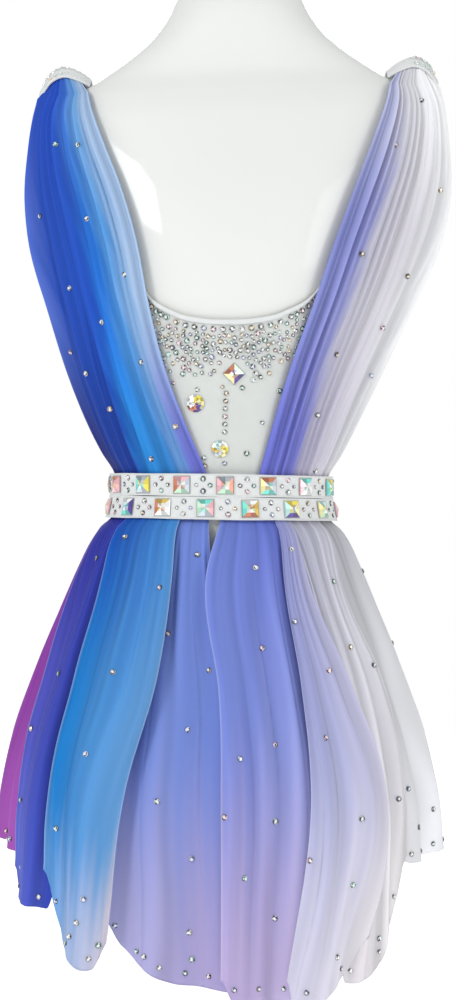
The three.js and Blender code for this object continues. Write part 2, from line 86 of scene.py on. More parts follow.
def curve(rows, along, column):
    """A smooth curve through one column of a table, along another."""
    ordered = sorted(rows, key=lambda r: r[along])
    x = np.array([r[along] for r in ordered], float)
    y = np.array([r[column] for r in ordered], float)
    slope = np.empty_like(y)
    slope[1:-1] = (y[2:] - y[:-2]) / (x[2:] - x[:-2])
    slope[0] = (y[1] - y[0]) / (x[1] - x[0])
    slope[-1] = (y[-1] - y[-2]) / (x[-1] - x[-2])

    def value(at):
        t = np.clip(np.asarray(at, float), x[0], x[-1])
        i = np.clip(np.searchsorted(x, t, side="right") - 1, 0, len(x) - 2)
        span = x[i + 1] - x[i]
        s = (t - x[i]) / span
        start = slope[i] * span * s * (1 - s) ** 2
        end = slope[i + 1] * span * s * s * (s - 1)
        return mix(y[i], y[i + 1], s * s * (3 - 2 * s)) + start + end

    return value


def table(names, *rows):
    return [dict(zip(names.split(), row)) for row in rows]


# Shapes shared with the solids
FORM = table(
    "up width depth forward",
    (497, 49, 51, 22), (480, 55, 54, 20), (462, 62, 57, 17), (446, 70, 58, 14), (428, 84, 56, 11),
    (409, 107, 52, 8), (391, 134, 50, 6), (383, 148, 53, 6), (375, 159, 57, 5), (366, 166, 62, 5),
    (352, 171, 68, 4), (330, 172, 75, 4), (300, 167, 83, 3), (262, 154, 92, 2), (225, 142, 97, 2),
    (186, 132, 94, 1), (150, 121, 87, 1), (100, 107, 78, 0), (50, 96, 73, 0), (0, 93, 71.5, 0),
    (-50, 108, 80, 0), (-100, 127, 91, 0), (-150, 140, 98, 0), (-195, 144, 99, 0),
)
form_width = curve(FORM, "up", "width")
form_depth = curve(FORM, "up", "depth")
form_forward = curve(FORM, "up", "forward")


def pose(points):
    """The wearer's stance, then metres."""
    x, y, up = points[..., 0], points[..., 1], points[..., 2]
    lean = LEAN * smooth((up - LEAN_FROM) / (LEAN_TO - LEAN_FROM))
    above = mix(WAIST_TILT, SHOULDER_TILT, smooth(up / SHOULDER_UP))
    below = WAIST_TILT * (1 - smooth(up / HEM_UP))
    tilt = np.where(up > 0, above, below)
    z = WAIST + up + x * np.tan(np.radians(tilt))
    return np.stack([x + lean, y, z], axis=-1) * MM


def body_sizes(up, out):
    """Half width and half depth of the body at a height, moved out."""
    fall = clamp((SEAT_UP - up) / (SEAT_DROP + out))
    fullness = np.sqrt(np.maximum(0, 1 - fall * fall))
    high = up >= SEAT_UP
    width = np.where(high, form_width(up) + out, (SEAT_HALF_WIDTH + out) * fullness)
    depth = np.where(high, form_depth(up) + out, (SEAT_HALF_DEPTH + out) * fullness)
    return width, depth


def stack(x, y, up):
    return np.stack(np.broadcast_arrays(x, y, up), axis=-1).astype(float)


def body(angle, up, out):
    """A point round the body: 0 degrees is the middle of the back."""
    width, depth = body_sizes(up, out)
    a = np.radians(angle)
    return stack(width * np.sin(a), form_forward(up) - depth * np.cos(a), up)


# Mesh building
def srgb(*values):
    v = np.array(values, float) / 255
    return np.where(v <= 0.04045, v / 12.92, ((v + 0.055) / 1.055) ** 2.4)


def new_object(name, points, faces, material, smooth_faces=True):
    mesh = bpy.data.meshes.new(name)
    mesh.from_pydata(points.tolist(), [], faces)
    mesh.validate()
    obj = bpy.data.objects.new(name, mesh)
    bpy.context.scene.collection.objects.link(obj)
    mesh.materials.append(material)
    mesh.polygons.foreach_set("use_smooth", [smooth_faces] * len(mesh.polygons))
    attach(obj, "root")
    return obj


def signed_volume(points, faces):
    """Six times the volume inside the quads, to tell which way they face."""
    quads = np.array([q for q in faces if len(q) == 4])
    a, b, c, d = (points[quads[:, i]] for i in range(4))
    return np.einsum("ij,ij->", a, np.cross(b, c)) + np.einsum("ij,ij->", a, np.cross(c, d))


# What each sheet was made from, by its name, and the shortest side that a cut may have, in metres
SHEETS = {}
SHORTEST_SIDE = 0.0105


def bridge(first, second, count, flip):
    """Quads between the outer and the inner skin along an edge."""
    quads = [first, second, second + count, first + count]
    return np.stack(quads[:1] + quads[:0:-1] if flip else quads, 1).tolist()


def shell_faces(rows, columns, closed):
    """Quads of the outer skin, the inner skin and the edges between them."""
    index = np.arange(rows * columns).reshape(rows, columns)
    wrap = np.concatenate([index, index[:, :1]], axis=1) if closed else index
    count = rows * columns
    a, b, c, d = (part.ravel() for part in (wrap[:-1, :-1], wrap[:-1, 1:], wrap[1:, 1:], wrap[1:, :-1]))
    faces = np.concatenate([np.stack([a, b, c, d], 1), np.stack([a, d, c, b], 1) + count]).tolist()
    for row, flip in ((0, True), (rows - 1, False)):
        faces += bridge(wrap[row, :-1], wrap[row, 1:], count, flip)
    if not closed:
        for column, flip in ((0, False), (columns - 1, True)):
            faces += bridge(index[:-1, column], index[1:, column], count, flip)
    return faces


def lay_cloth_coords(mesh, steps_u, steps_v):
    """Cloth coordinates in metres along the rows and down the columns, the same on both skins."""
    along = np.concatenate([np.zeros((len(steps_u), 1)), np.cumsum(steps_u, 1)], 1)
    down = np.concatenate([np.zeros((1, steps_v.shape[1])), np.cumsum(steps_v, 0)], 0)
    along = along - along.mean(axis=1, keepdims=True)
    coords = np.concatenate([np.stack([along.ravel(), down.ravel()], 1)] * 2)
    layer = mesh.uv_layers.new(name="Cloth")
    loops = np.empty(len(mesh.loops), int)
    mesh.loops.foreach_get("vertex_index", loops)
    layer.data.foreach_set("uv", coords[loops].ravel())


def lay_dye_and_painted_light(mesh, colours):
    """The dye of each point with its painted shade and highlights, the same on both skins."""
    skin = np.ones((colours.size // 3, 4))
    skin[:, :3] = colours.reshape(-1, 3)
    attribute = mesh.color_attributes.new("DyeAndPaintedLight", "FLOAT_COLOR", "POINT")
    attribute.data.foreach_set("color", np.concatenate([skin, skin]).ravel())


def skin_area(outer):
    """The area of a grid of points, as two triangles to a cell."""
    across, diagonal = outer[:-1, 1:] - outer[:-1, :-1], outer[1:, 1:] - outer[:-1, :-1]
    down = outer[1:, :-1] - outer[:-1, :-1]
    upper = np.linalg.norm(np.cross(across, diagonal), axis=2)
    lower = np.linalg.norm(np.cross(diagonal, down), axis=2)
    return float((upper.sum() + lower.sum()) / 2)


def wall(name, at, u, v, thick, material, dye=None, closed=False):
    """A thin shell from at(u, v, depth), with its dye, its cloth coordinates and the facts of its cut."""
    grid_u, grid_v = np.meshgrid(u[:-1] if closed else u, v)
    outer = pose(at(grid_u, grid_v, 0.0))
    inner = pose(at(grid_u, grid_v, thick))
    points = np.concatenate([outer.reshape(-1, 3), inner.reshape(-1, 3)])
    faces = shell_faces(*grid_u.shape, closed)
    if signed_volume(points, faces) < 0:
        faces = [f[::-1] for f in faces]
    obj = new_object(name, points, faces, material)
    steps_u = np.linalg.norm(np.diff(outer, axis=1), axis=2)
    steps_v = np.linalg.norm(np.diff(outer, axis=0), axis=2)
    lay_cloth_coords(obj.data, steps_u, steps_v)
    if dye is not None:
        lay_dye_and_painted_light(obj.data, dye(grid_u, grid_v))
    level = np.linalg.norm(np.diff(outer[..., :2], axis=1), axis=2)
    width = float(level.sum(1).max())
    if closed:
        width += float(np.linalg.norm(outer[0, 0] - outer[0, -1]))
    flat = (width, float(steps_v.sum(0).max()))
    area = skin_area(outer)
    SHEETS[name] = {"at": at, "outer": outer, "u": grid_u, "v": grid_v, "area": area, "flat": flat}
    return obj


def shares(count):
    return np.linspace(0, 1, count + 1)


def stretches(*spans):
    """Shares from 0 to 1 in spans of (from, to, count), closer together where the form bends more."""
    return np.unique(np.concatenate([np.linspace(*span) for span in spans]))


def declare(obj):
    """Reads the cut's widest row and longest column, the column at least the shortest side; nothing is kept.
    """
    facts = SHEETS[obj.name]
    width, length = facts["flat"]
    length = max(length, SHORTEST_SIDE)


def show_as(obj, node, held=None):
    """Hides the solid that a piece shows and, for cloth that is held, reads its cut."""
    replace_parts(obj, node)
    if held:
        declare(obj)


def ripple(t, seed, waves):
    """Uneven smooth waves from a few sines with seeded phases."""
    rng = random.Random(seed)
    total = 0.0
    for frequency, size in waves:
        total = total + size * np.sin(2 * math.pi * (frequency * t + rng.random()))
    return total


# Materials
def node_material(name):
    material = bpy.data.materials.new(name)
    material.use_nodes = True
    tree = material.node_tree
    shader = tree.nodes["Principled BSDF"]
    return material, tree, shader


def add_node(tree, kind, **inputs):
    node = tree.nodes.new(kind)
    for key, value in inputs.items():
        if key in node.inputs:
            node.inputs[key].default_value = value
        else:
            setattr(node, key, value)
    return node


def set_values(shader, **values):
    """Values of a shader's sockets, named with _ for each space."""
    for key, value in values.items():
        shader.inputs[key.replace("_", " ")].default_value = value


def weave_bump(tree, shader, pitch, strength, distance, soft=0.35):
    """Crossing threads of a knit or net over a soft uneven surface: their outputs and the bumped normal."""
    coords = add_node(tree, "ShaderNodeUVMap", uv_map="Cloth")
    scale = add_node(tree, "ShaderNodeVectorMath", operation="SCALE", Scale=1 / pitch)
    tree.links.new(coords.outputs["UV"], scale.inputs[0])
    both = add_node(tree, "ShaderNodeMath", operation="MAXIMUM")
    for i, direction in enumerate(("X", "Y")):
        wave = add_node(tree, "ShaderNodeTexWave", bands_direction=direction, Scale=0.5, Distortion=0.4)
        tree.links.new(scale.outputs["Vector"], wave.inputs["Vector"])
        tree.links.new(wave.outputs["Fac"], both.inputs[i])
    noise = add_node(tree, "ShaderNodeTexNoise", Scale=0.09, Detail=3.0)
    tree.links.new(scale.outputs["Vector"], noise.inputs["Vector"])
    mixed = add_node(tree, "ShaderNodeMix", data_type="FLOAT")
    mixed.inputs["Factor"].default_value = soft
    tree.links.new(both.outputs["Value"], mixed.inputs[2])
    tree.links.new(noise.outputs["Fac"], mixed.inputs[3])
    bump = add_node(tree, "ShaderNodeBump", Strength=strength, Distance=distance)
    tree.links.new(mixed.outputs[0], bump.inputs["Height"])
    tree.links.new(bump.outputs["Normal"], shader.inputs["Normal"])
    return both.outputs["Value"], noise.outputs["Fac"], bump.outputs["Normal"]


def object_noise(tree, scale, detail):
    where = tree.nodes.new("ShaderNodeTexCoord")
    noise = add_node(tree, "ShaderNodeTexNoise", Scale=scale, Detail=detail)
    tree.links.new(where.outputs["Object"], noise.inputs["Vector"])
    return noise.outputs["Fac"]


def mottle(tree, shader, noise, dark, light):
    """A base colour that wanders between two tones."""
    ramp = tree.nodes.new("ShaderNodeValToRGB")
    for element, colour in zip(ramp.color_ramp.elements, (dark, light)):
        element.color = (*np.minimum(1, colour), 1)
    tree.links.new(noise, ramp.inputs["Fac"])
    tree.links.new(ramp.outputs["Color"], shader.inputs["Base Color"])


def shade_by(tree, shader, colour, level, low, high):
    """A base colour made darker and lighter by a level that runs from 0 to 1."""
    span = tree.nodes.new("ShaderNodeMapRange")
    span.inputs["To Min"].default_value = low
    span.inputs["To Max"].default_value = high
    tree.links.new(level, span.inputs["Value"])
    shade = add_node(tree, "ShaderNodeVectorMath", operation="SCALE")
    tree.links.new(colour, shade.inputs[0])
    tree.links.new(span.outputs["Result"], shade.inputs["Scale"])
    tree.links.new(shade.outputs["Vector"], shader.inputs["Base Color"])


def dyed_mesh_with_painted_light():
    """Sheer stretch mesh, dyed: the dye, with its painted fold shade and highlights, comes from the cloth,
    the net's threads lighten and darken it.
    """
    material, tree, shader = node_material("dyed_stretch_mesh_painted_light")
    threads, _, normal = weave_bump(tree, shader, 0.0011, 0.22, 0.00035)
    dye = add_node(tree, "ShaderNodeAttribute", attribute_name="DyeAndPaintedLight").outputs["Color"]
    shade_by(tree, shader, dye, threads, 0.94, 1.08)
    set_values(shader, Roughness=0.62, Specular_IOR_Level=0.18, Sheen_Weight=0.08, Sheen_Roughness=0.35)
    through = tree.nodes.new("ShaderNodeBsdfTranslucent")
    tree.links.new(dye, through.inputs["Color"])
    tree.links.new(normal, through.inputs["Normal"])
    blend = add_node(tree, "ShaderNodeMixShader", Fac=0.15)
    tree.links.new(shader.outputs["BSDF"], blend.inputs[1])
    tree.links.new(through.outputs["BSDF"], blend.inputs[2])
    tree.links.new(blend.outputs["Shader"], tree.nodes["Material Output"].inputs["Surface"])
    return material


def cloth_material(name, colour, pitch, strength, roughness, sheen):
    material, tree, shader = node_material(name)
    _, unevenness, _ = weave_bump(tree, shader, pitch, strength, 0.0003)
    mottle(tree, shader, unevenness, colour * 0.95, colour * 1.03)
    set_values(shader, Roughness=roughness, Sheen_Weight=sheen, Specular_IOR_Level=0.3)
    return material


def plastic_material(name, colour, roughness, coat):
    """A clear-coated white surface, slightly uneven."""
    material, tree, shader = node_material(name)
    noise = object_noise(tree, 9.0, 4.0)
    mottle(tree, shader, noise, colour * 0.985, colour * 1.01)
    bump = add_node(tree, "ShaderNodeBump", Strength=0.04, Distance=0.001)
    tree.links.new(noise, bump.inputs["Height"])
    tree.links.new(bump.outputs["Normal"], shader.inputs["Normal"])
    set_values(shader, Roughness=roughness, Coat_Weight=coat, Coat_Roughness=0.06, Specular_IOR_Level=0.2)
    return material


def crystal_material(name, metallic, roughness):
    """Foiled glass: each facet's tone, painted light and dark as reflections, under a clear polished face.
    """
    material, tree, shader = node_material(name)
    tone = add_node(tree, "ShaderNodeAttribute", attribute_name="FacetToneAndPaintedReflection").outputs["Color"]
    shade_by(tree, shader, tone, object_noise(tree, 420.0, 1.0), 0.86, 1.12)
    set_values(shader, Metallic=metallic, Roughness=roughness, Coat_Weight=1.0, Coat_Roughness=0.02)
    return material


DYED_WITH_PAINTED_LIGHT = dyed_mesh_with_painted_light()
STRETCH_KNIT = cloth_material("white_stretch_knit", srgb(214, 217, 213), 0.0009, 0.18, 0.6, 0.1)
WHITE_TRIM = cloth_material("white_trim", srgb(226, 228, 227), 0.0008, 0.2, 0.5, 0.1)
FORM_PLASTIC = plastic_material("white_form_plastic", srgb(234, 235, 231), 0.45, 0.4)
STAND_PAINT = plastic_material("white_painted_metal", srgb(232, 232, 230), 0.3, 0.3)
STONE = crystal_material("foiled_crystal", 0.15, 0.1)
SMALL_STONE = crystal_material("small_foiled_crystal", 0.1, 0.14)


# Dress form and stand
def lathe(name, rings, material, cap_first, cap_last):
    """A closed solid through rings of equal count, each an array of points in metres."""
    sides = len(rings[0])
    points = np.concatenate([*rings, [cap_first], [cap_last]])
    k = np.arange(sides)
    faces = []
    for j in range(len(rings) - 1):
        a, b = j * sides + k, j * sides + (k + 1) % sides
        faces += np.stack([a, b, b + sides, a + sides], 1).tolist()
    top = (len(rings) - 1) * sides
    faces += [[len(points) - 2, int((i + 1) % sides), int(i)] for i in k]
    faces += [[len(points) - 1, int(top + i), int(top + (i + 1) % sides)] for i in k]
    if signed_volume(points, faces) < 0:
        faces = [f[::-1] for f in faces]
    return new_object(name, points, faces, material)


FORM_SIDES, SEAT_RINGS, BODY_RINGS = 96, 22, 150
NECK_ROUND_FROM, NECK_TOP = 490.0, 501.0
NECK_ROUNDING = table(
    "share up", (0.985, 494), (0.95, 497.5), (0.88, 499.8), (0.7, NECK_TOP), (0.4, NECK_TOP)
)


def make_form():
    """The limbless form: half an ellipsoid below the seat, the body's rings and a rounded neck."""
    angles = np.linspace(0, 360, FORM_SIDES + 1)[:-1]
    low = SEAT_UP - SEAT_DROP * np.sin(np.radians(np.linspace(86, 4, SEAT_RINGS)))
    ups = np.concatenate([low, np.linspace(SEAT_UP, NECK_ROUND_FROM, BODY_RINGS)])
    rings = [pose(body(angles, np.full_like(angles, up), 0.0)) for up in ups]
    neck = body(angles, np.full_like(angles, NECK_ROUND_FROM), 0.0)
    centre = np.array([0.0, float(form_forward(NECK_ROUND_FROM))])
    for row in NECK_ROUNDING:
        x, y = (centre + (neck[:, :2] - centre) * row["share"]).T
        rings.append(pose(stack(x, y, row["up"])))
    bottom = pose(np.array([0.0, 0.0, SEAT_UP - SEAT_DROP]))
    top = pose(np.array([*centre, NECK_TOP]))
    show_as(lathe("form_torso_skin", rings, FORM_PLASTIC, bottom, top), "form_torso")


def turned(name, node, centre_x, profile, sides):
    """A turned piece of the stand, from rows of (radius, height)."""
    a = np.linspace(0, 2 * math.pi, sides + 1)[:-1]
    rings = [stack(centre_x + r * np.cos(a), r * np.sin(a), height) * MM for r, height in profile]
    ends = [np.array([centre_x, 0, profile[i][1]]) * MM for i in (0, -1)]
    show_as(lathe(name, rings, STAND_PAINT, *ends), node)


def make_stand():
    rim = (
        (-2, 0), (0, 1.2), (0, BASE_THICK - 2), (-0.6, BASE_THICK - 0.6), (-2, BASE_THICK),
        (-70, BASE_THICK),
    )
    turned("stand_base", "form_base", 0, [(BASE_RADIUS + inset, height) for inset, height in rim], 96)
    foot = BASE_THICK + SEAM
    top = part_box("form_pole")[1][2] / MM - POLE_EASE
    pole = [(POLE_RADIUS, foot), (POLE_RADIUS, top), (POLE_RADIUS - 1, top + 0.6)]
    turned("stand_pole", "form_pole", POLE_X, pole, 48)


make_form()
make_stand()

# Bodice and brief
BACK_TOP = table(
    "u angle up",
    (0, 0, 157), (0.12, 11, 158.5), (0.24, 22, 165), (0.36, 34, 184), (0.47, 42, 232), (0.57, 46, 294),
    (0.66, 51, 352), (0.76, 63, 352), (0.85, 67, 305), (0.93, 75, 262), (1, SIDE_SEAM, 240),
)
FRONT_TOP = table(
    "u angle up",
    (0, 0, 196), (0.12, 10, 203), (0.24, 21, 218), (0.36, 32, 240), (0.47, 41, 272), (0.57, 46, 312),
    (0.66, 51, 352), (0.76, 63, 352), (0.85, 67, 305), (0.93, 75, 262), (1, SIDE_SEAM, 240),
)


def both_sides(rows):
    """The rows of a half outline and their mirror image."""
    return rows + [{**r, "u": -r["u"], "angle": -r["angle"]} for r in rows if r["u"] > 0]


def panel(rows, front):
    """A bodice panel's surface, and its top edge."""
    up_of = curve(both_sides(rows), "u", "up")
    angle_of = curve(both_sides(rows), "u", "angle")

    def at(u, v, out):
        s = 2 * u - 1
        angle = mix(SIDE_SEAM * s, angle_of(s), smooth(v) * 0.5 + v * 0.5)
        up = mix(SEAM / 2, up_of(s), v)
        ease = STRAP_EASE * smooth((up - 200) / 80)
        return body(180 - angle if front else angle, up, out + ease)

    return at, up_of


back_at, back_up = panel(BACK_TOP, False)
front_at, front_up = panel(FRONT_TOP, True)

PANEL_WALL, EDGE_WALL = 0.8, 1.2
NECK_FROM, NECK_TO, NECK_WIDTH = 0.215, 0.785, 4.3


def panel_face(at):
    """The outer face of a panel, drawn a little uneven where it is stretched."""

    def face(u, v, depth):
        pull = 0.25 * ripple(u * 3 + v, 5, [(2, 1), (4.5, 0.5)]) * smooth(v * 2)
        return at(u, v, PANEL_OUT + pull - depth)

    return face


def neck_edge(at, up_of):
    """The binding along a neckline, rounded across."""

    def face(u, v, depth):
        s = mix(NECK_FROM, NECK_TO, u)
        swell = 0.5 * np.sin(math.pi * clamp(v))
        out = PANEL_OUT + EDGE_WALL + 0.25 + swell
        return at(s, 1.004 - (NECK_WIDTH / up_of(2 * s - 1)) * v, out - depth)

    return face


def make_bodice():
    panels = (("back", back_at, back_up), ("front", front_at, front_up))
    for side, at, _ in panels:
        name = "bodice_%s_cloth" % side
        obj = wall(name, panel_face(at), shares(80), shares(60), PANEL_WALL, STRETCH_KNIT)
        show_as(obj, "leotard_" + side, "stretched")
    for side, at, up_of in panels:
        obj = wall("neck_edge_" + side, neck_edge(at, up_of), shares(120), shares(6), EDGE_WALL, WHITE_TRIM)
        show_as(obj, "neck_binding_" + side, "stretched")


BRIEF_EDGE = table(
    "u angle up",
    (0, 0, -252), (0.14, 11.5, -252), (0.28, 23, -252), (0.44, 36, -240), (0.58, 49, -222),
    (0.72, 63, -199), (0.86, 76, -177), (1, SIDE_SEAM, -158),
)
GUSSET_UP, GUSSET_ANGLE, GUSSET_HALF = -252.0, 23, 28


def brief_panel(front):
    """A brief panel's surface from the waist to its leg curves and the gusset."""
    up_of = curve(both_sides(BRIEF_EDGE), "u", "up")
    angle_of = curve(both_sides(BRIEF_EDGE), "u", "angle")

    def at(u, v, depth):
        s = 2 * u - 1
        angle = mix(SIDE_SEAM * s, angle_of(s), v)
        up = mix(-SEAM / 2, up_of(s), v)
        out = PANEL_OUT + SEAT_EASE * smooth((-60 - up) / 70)
        return body(180 - angle if front else angle, up, out - depth)

    return at


def gusset(u, v, depth):
    """An hourglass under the seat, as wide at its ends as the panels that it meets."""
    out = PANEL_OUT + SEAT_EASE - depth
    wide, deep = body_sizes(np.float64(GUSSET_UP), out)
    edge = wide * math.sin(math.radians(GUSSET_ANGLE))
    x = (2 * u - 1) * mix(GUSSET_HALF, edge, (2 * v - 1) ** 2)
    y = (2 * v - 1) * (deep * np.sqrt(1 - (x / wide) ** 2) - 0.5)
    fullness = 1 - (x / (SEAT_HALF_WIDTH + out)) ** 2 - (y / (SEAT_HALF_DEPTH + out)) ** 2
    return stack(x, y, SEAT_UP - (SEAT_DROP + out) * np.sqrt(fullness))


def make_brief():
    for part, at, columns, rows in (
        ("back", brief_panel(False), 60, 36),
        ("front", brief_panel(True), 60, 36),
        ("gusset", gusset, 16, 28),
    ):
        obj = wall("brief_%s_cloth" % part, at, shares(columns), shares(rows), PANEL_WALL, STRETCH_KNIT)
        show_as(obj, "brief_" + part, "stretched")


make_bodice()
make_brief()

# Shoulder bands and drapes
BAND = table("s x up", (0, 137, 395), (0.25, 148, 403), (0.5, 162, 408), (0.75, 175, 402), (1, 185, 386))
BAND_HALF_WIDTH, BAND_THICK, BAND_FORWARD = 14.0, 2.0, 5.0
SHOULDER_BANDS = (("shoulder_band_left", -1), ("shoulder_band_right", 1))
band_x = curve(BAND, "s", "x")
band_up = curve(BAND, "s", "up")


def band_point(side, s, t, depth):
    """A point of a band: s along its arch over the shoulder, t from its back edge to its front edge."""
    dx = band_x(s + 0.01) - band_x(s - 0.01)
    du = band_up(s + 0.01) - band_up(s - 0.01)
    length = np.hypot(dx, du)
    droop = 7 + 4 * np.sin(math.pi * clamp(0.08 + s * 0.75))
    x = band_x(s) + du / length * depth
    up = band_up(s) - dx / length * depth - droop * t * t
    return stack(side * x, BAND_FORWARD + BAND_HALF_WIDTH * t, up)


def band_face(side):
    """The band's outer face, rounded across."""

    def face(u, v, depth):
        t = 2 * v - 1
        return band_point(side, u, t, depth - 0.3 * np.cos(math.pi * t))

    return face


DRAPE = table(
    "up left right outer lift fold",
    (376, 138, 138, 186, 9, 1.2), (356, 133, 133, 190.5, 9.8, 1.9), (322, 121, 121, 194, 10.8, 2.6),
    (278, 104, 104, 195, 11.2, 3.2), (228, 87, 88, 187, 10.6, 3.2), (174, 72, 74, 167, 9.4, 3),
    (120, 54, 59, 146, 8.7, 2.4), (72, 34, 47, 125, 8, 1.7), (42, 21, 39, 110, 7.2, 1.2),
    (24, 13.5, 34, 98.8, 6.6, 0.9), (11, 12, 33, 98, 6.4, 0.8),
)
DRAPE_CURVES = {c: curve(DRAPE, "up", c) for c in ("left", "right", "outer", "lift", "fold")}
DRAPE_SIDE = 80
DRAPE_TOP = 376.0
DRAPE_END = 11.0
TOP_SHARE = 0.045
GATHER_END = 0.78
DRAPE_WALL, BAND_WALL = 0.7, 1.8


def fold_wave(t):
    return np.cos(2 * math.pi * t) * 0.78 + np.cos(4 * math.pi * t) * 0.22


def drape(side, inner, folds, front, seed):
    """A drape's surface from the shoulder band to the belt, and how high its folds stand."""

    def fold_height(u, v):
        """The gathers: main folds that drift as they fall, and a few softer ones between them."""
        row = clamp((v - TOP_SHARE) / (1 - TOP_SHARE)) * 10
        drift = 0.008 * ripple(v * 0.9 + u * 0.6, seed, [(1, 1), (1.9, 0.5)])
        uneven = ripple(u, seed + 11, [(1.3, 0.09), (2.6, 0.05)]) * clamp(4 * u * (1 - u))
        wave = fold_wave((u + uneven) * folds + 0.07 * np.sin(row * 0.6 + u * 5) + drift * folds)
        taut = 1 - 0.3 * np.sin(math.pi * clamp((v - 0.08) / 0.8)) ** 2
        size = (0.75 + 0.5 * np.sin(2 * math.pi * (u * 1.7 + seed * 0.13))) * taut
        sag = ripple(u + drift * 2, seed + 3, [(folds * 1.7, 0.6), (folds * 2.6, 0.4)])
        pulled = smooth((v - 0.7) / 0.3) + (1 - smooth(v / 0.15))
        fine = ripple(u - drift, seed + 7, [(folds * 3.7, 0.5), (folds * 5.3, 0.4)]) * (0.12 + 0.5 * pulled)
        line = ripple(u + drift * 2, seed + 12, [(2.3, 0.6), (3.7, 0.5)])
        crisp = np.exp(-((line / 0.07) ** 2)) * (0.3 + 0.7 * clamp(ripple(u + v, seed + 13, [(1.1, 1)])))
        return wave * size + 0.22 * sag + 0.3 * fine - 0.6 * crisp

    def at(u, v, depth):
        up = mix(DRAPE_TOP, DRAPE_END, clamp((v - TOP_SHARE) / (1 - TOP_SHARE)))
        height = fold_height(u, v)
        sizes = body_sizes(up, 0.0)
        lift = DRAPE_CURVES["lift"](up)
        amount = DRAPE_CURVES["fold"](up)
        start = DRAPE_CURVES[inner](up) / (sizes[0] + lift)
        end = math.sin(math.radians(DRAPE_SIDE))
        even = mix(np.arcsin(start), math.radians(DRAPE_SIDE), u)
        angle = np.degrees(mix(even, np.arcsin(mix(start, end, u)), 0.5))
        spread = DRAPE_CURVES["outer"](up) / end - sizes[0] - lift
        edge = smooth(u / 0.04) * smooth((1 - u) / 0.03)
        crease = amount * height * mix(0.12, 1.2, edge)
        out = lift + spread * u * u + np.maximum(crease, -amount * 1.1) - depth
        low = body(side * angle, up, out)
        s = mix(0.16, 0.84, u)
        high = band_point(side, s, GATHER_END, BAND_THICK + 7 * SEAM)
        high[..., 1] = BAND_FORWARD - BAND_HALF_WIDTH * GATHER_END - 0.7 * height + depth
        if front:
            forward = form_forward(up)
            low[..., 1] = 2 * forward - low[..., 1]
            high[..., 1] = 2 * BAND_FORWARD - high[..., 1]
        return mix(high, low, np.asarray(smooth(v / TOP_SHARE))[..., None])

    return at, fold_height


def stops(rows, t):
    """Colours between named stops of a dye, smoothed: rows of (place, colour)."""
    places = np.array([r[0] for r in rows], float)
    colours = np.array([r[1] for r in rows], float)
    i = np.clip(np.searchsorted(places, t, side="right") - 1, 0, len(places) - 2)
    s = smooth((t - places[i]) / (places[i + 1] - places[i]))[..., None]
    return mix(colours[i], colours[i + 1], s)


ROYAL = srgb(34, 80, 196)
DEEP_ROYAL = srgb(24, 60, 152)
# The next colour is partly the drape's deep blue and partly painted fold shade, for the back left drape's
# outer edge by the belt
NAVY_WITH_PAINTED_SHADE = srgb(20, 34, 120)
SKY = srgb(116, 172, 228)
PALE_SKY = srgb(172, 198, 230)
IRIS = srgb(112, 118, 208)
LILAC = srgb(200, 198, 212)
GREY_LILAC = srgb(208, 205, 212)
GREY = srgb(218, 218, 221)
BRIGHT = srgb(250, 251, 252)
WHITE = srgb(237, 238, 241)
MAGENTA = srgb(150, 66, 170)
VIOLET = srgb(84, 64, 176)
PINK = srgb(240, 190, 206)
ROSE = srgb(206, 80, 132)

# Dye of each drape from its inner to its outer edge: at the shoulder, at the middle and at the belt
DRAPE_DYES = {
    "back_left": (
        [(0, PALE_SKY), (0.14, PALE_SKY), (0.3, SKY), (0.5, srgb(66, 120, 214)), (0.68, ROYAL),
        (1, ROYAL)],
        [
            (0, PALE_SKY), (0.1, PALE_SKY), (0.2, srgb(142, 182, 226)), (0.33, srgb(84, 154, 222)),
            (0.47, srgb(36, 118, 218)), (0.6, srgb(34, 84, 194)), (0.82, srgb(34, 78, 184)),
            # the lighter blue at the outer edge is a painted sheen
            (1, srgb(84, 112, 204)),
        ],
        [
            (0, IRIS), (0.11, IRIS), (0.18, srgb(104, 152, 212)), (0.3, srgb(50, 130, 202)),
            (0.5, srgb(44, 142, 220)), (0.57, srgb(34, 112, 196)), (0.65, DEEP_ROYAL), (0.8, DEEP_ROYAL),
            # painted fold shade darkens the outer edge to navy
            (1, NAVY_WITH_PAINTED_SHADE),
        ],
    ),
    "back_right": (
        [
            (0, srgb(196, 201, 234)), (0.1, srgb(196, 201, 234)), (0.2, srgb(216, 215, 224)),
            (0.5, srgb(226, 226, 230)), (0.72, srgb(242, 242, 244)), (1, srgb(254, 254, 254)),
        ],
        [
            (0, srgb(140, 148, 212)), (0.3, srgb(156, 160, 216)), (0.42, LILAC), (0.65, GREY_LILAC),
            (0.88, GREY), (1, BRIGHT),
        ],
        [(0, IRIS), (0.36, srgb(118, 122, 202)), (0.47, srgb(176, 172, 198)),
        (0.75, srgb(200, 196, 208)), (1, GREY)],
    ),
    "front_left": (
        [(0, VIOLET), (0.4, MAGENTA), (1, VIOLET)],
        [(0, MAGENTA), (0.5, MAGENTA), (1, VIOLET)],
        [(0, ROSE), (0.5, MAGENTA), (1, VIOLET)],
    ),
    "front_right": (
        [(0, PINK), (0.5, WHITE), (1, WHITE)],
        [(0, PINK), (0.4, WHITE), (1, WHITE)],
        [(0, PINK), (0.5, srgb(240, 214, 222)), (1, WHITE)],
    ),
}

# How much painted fold shade and highlight a dye gets: darker in the troughs and lighter on the crests, by
# the height of a fold
FOLD_SHADE_USUAL = 0.2


def paint_fold_shade(colour, height, amount):
    """Painted fold shade and highlight: the colour made darker in the troughs and lighter on the crests of
    the folds.
    """
    return colour * (1 + amount * np.clip(height, -1.2, 1.0))[..., None]


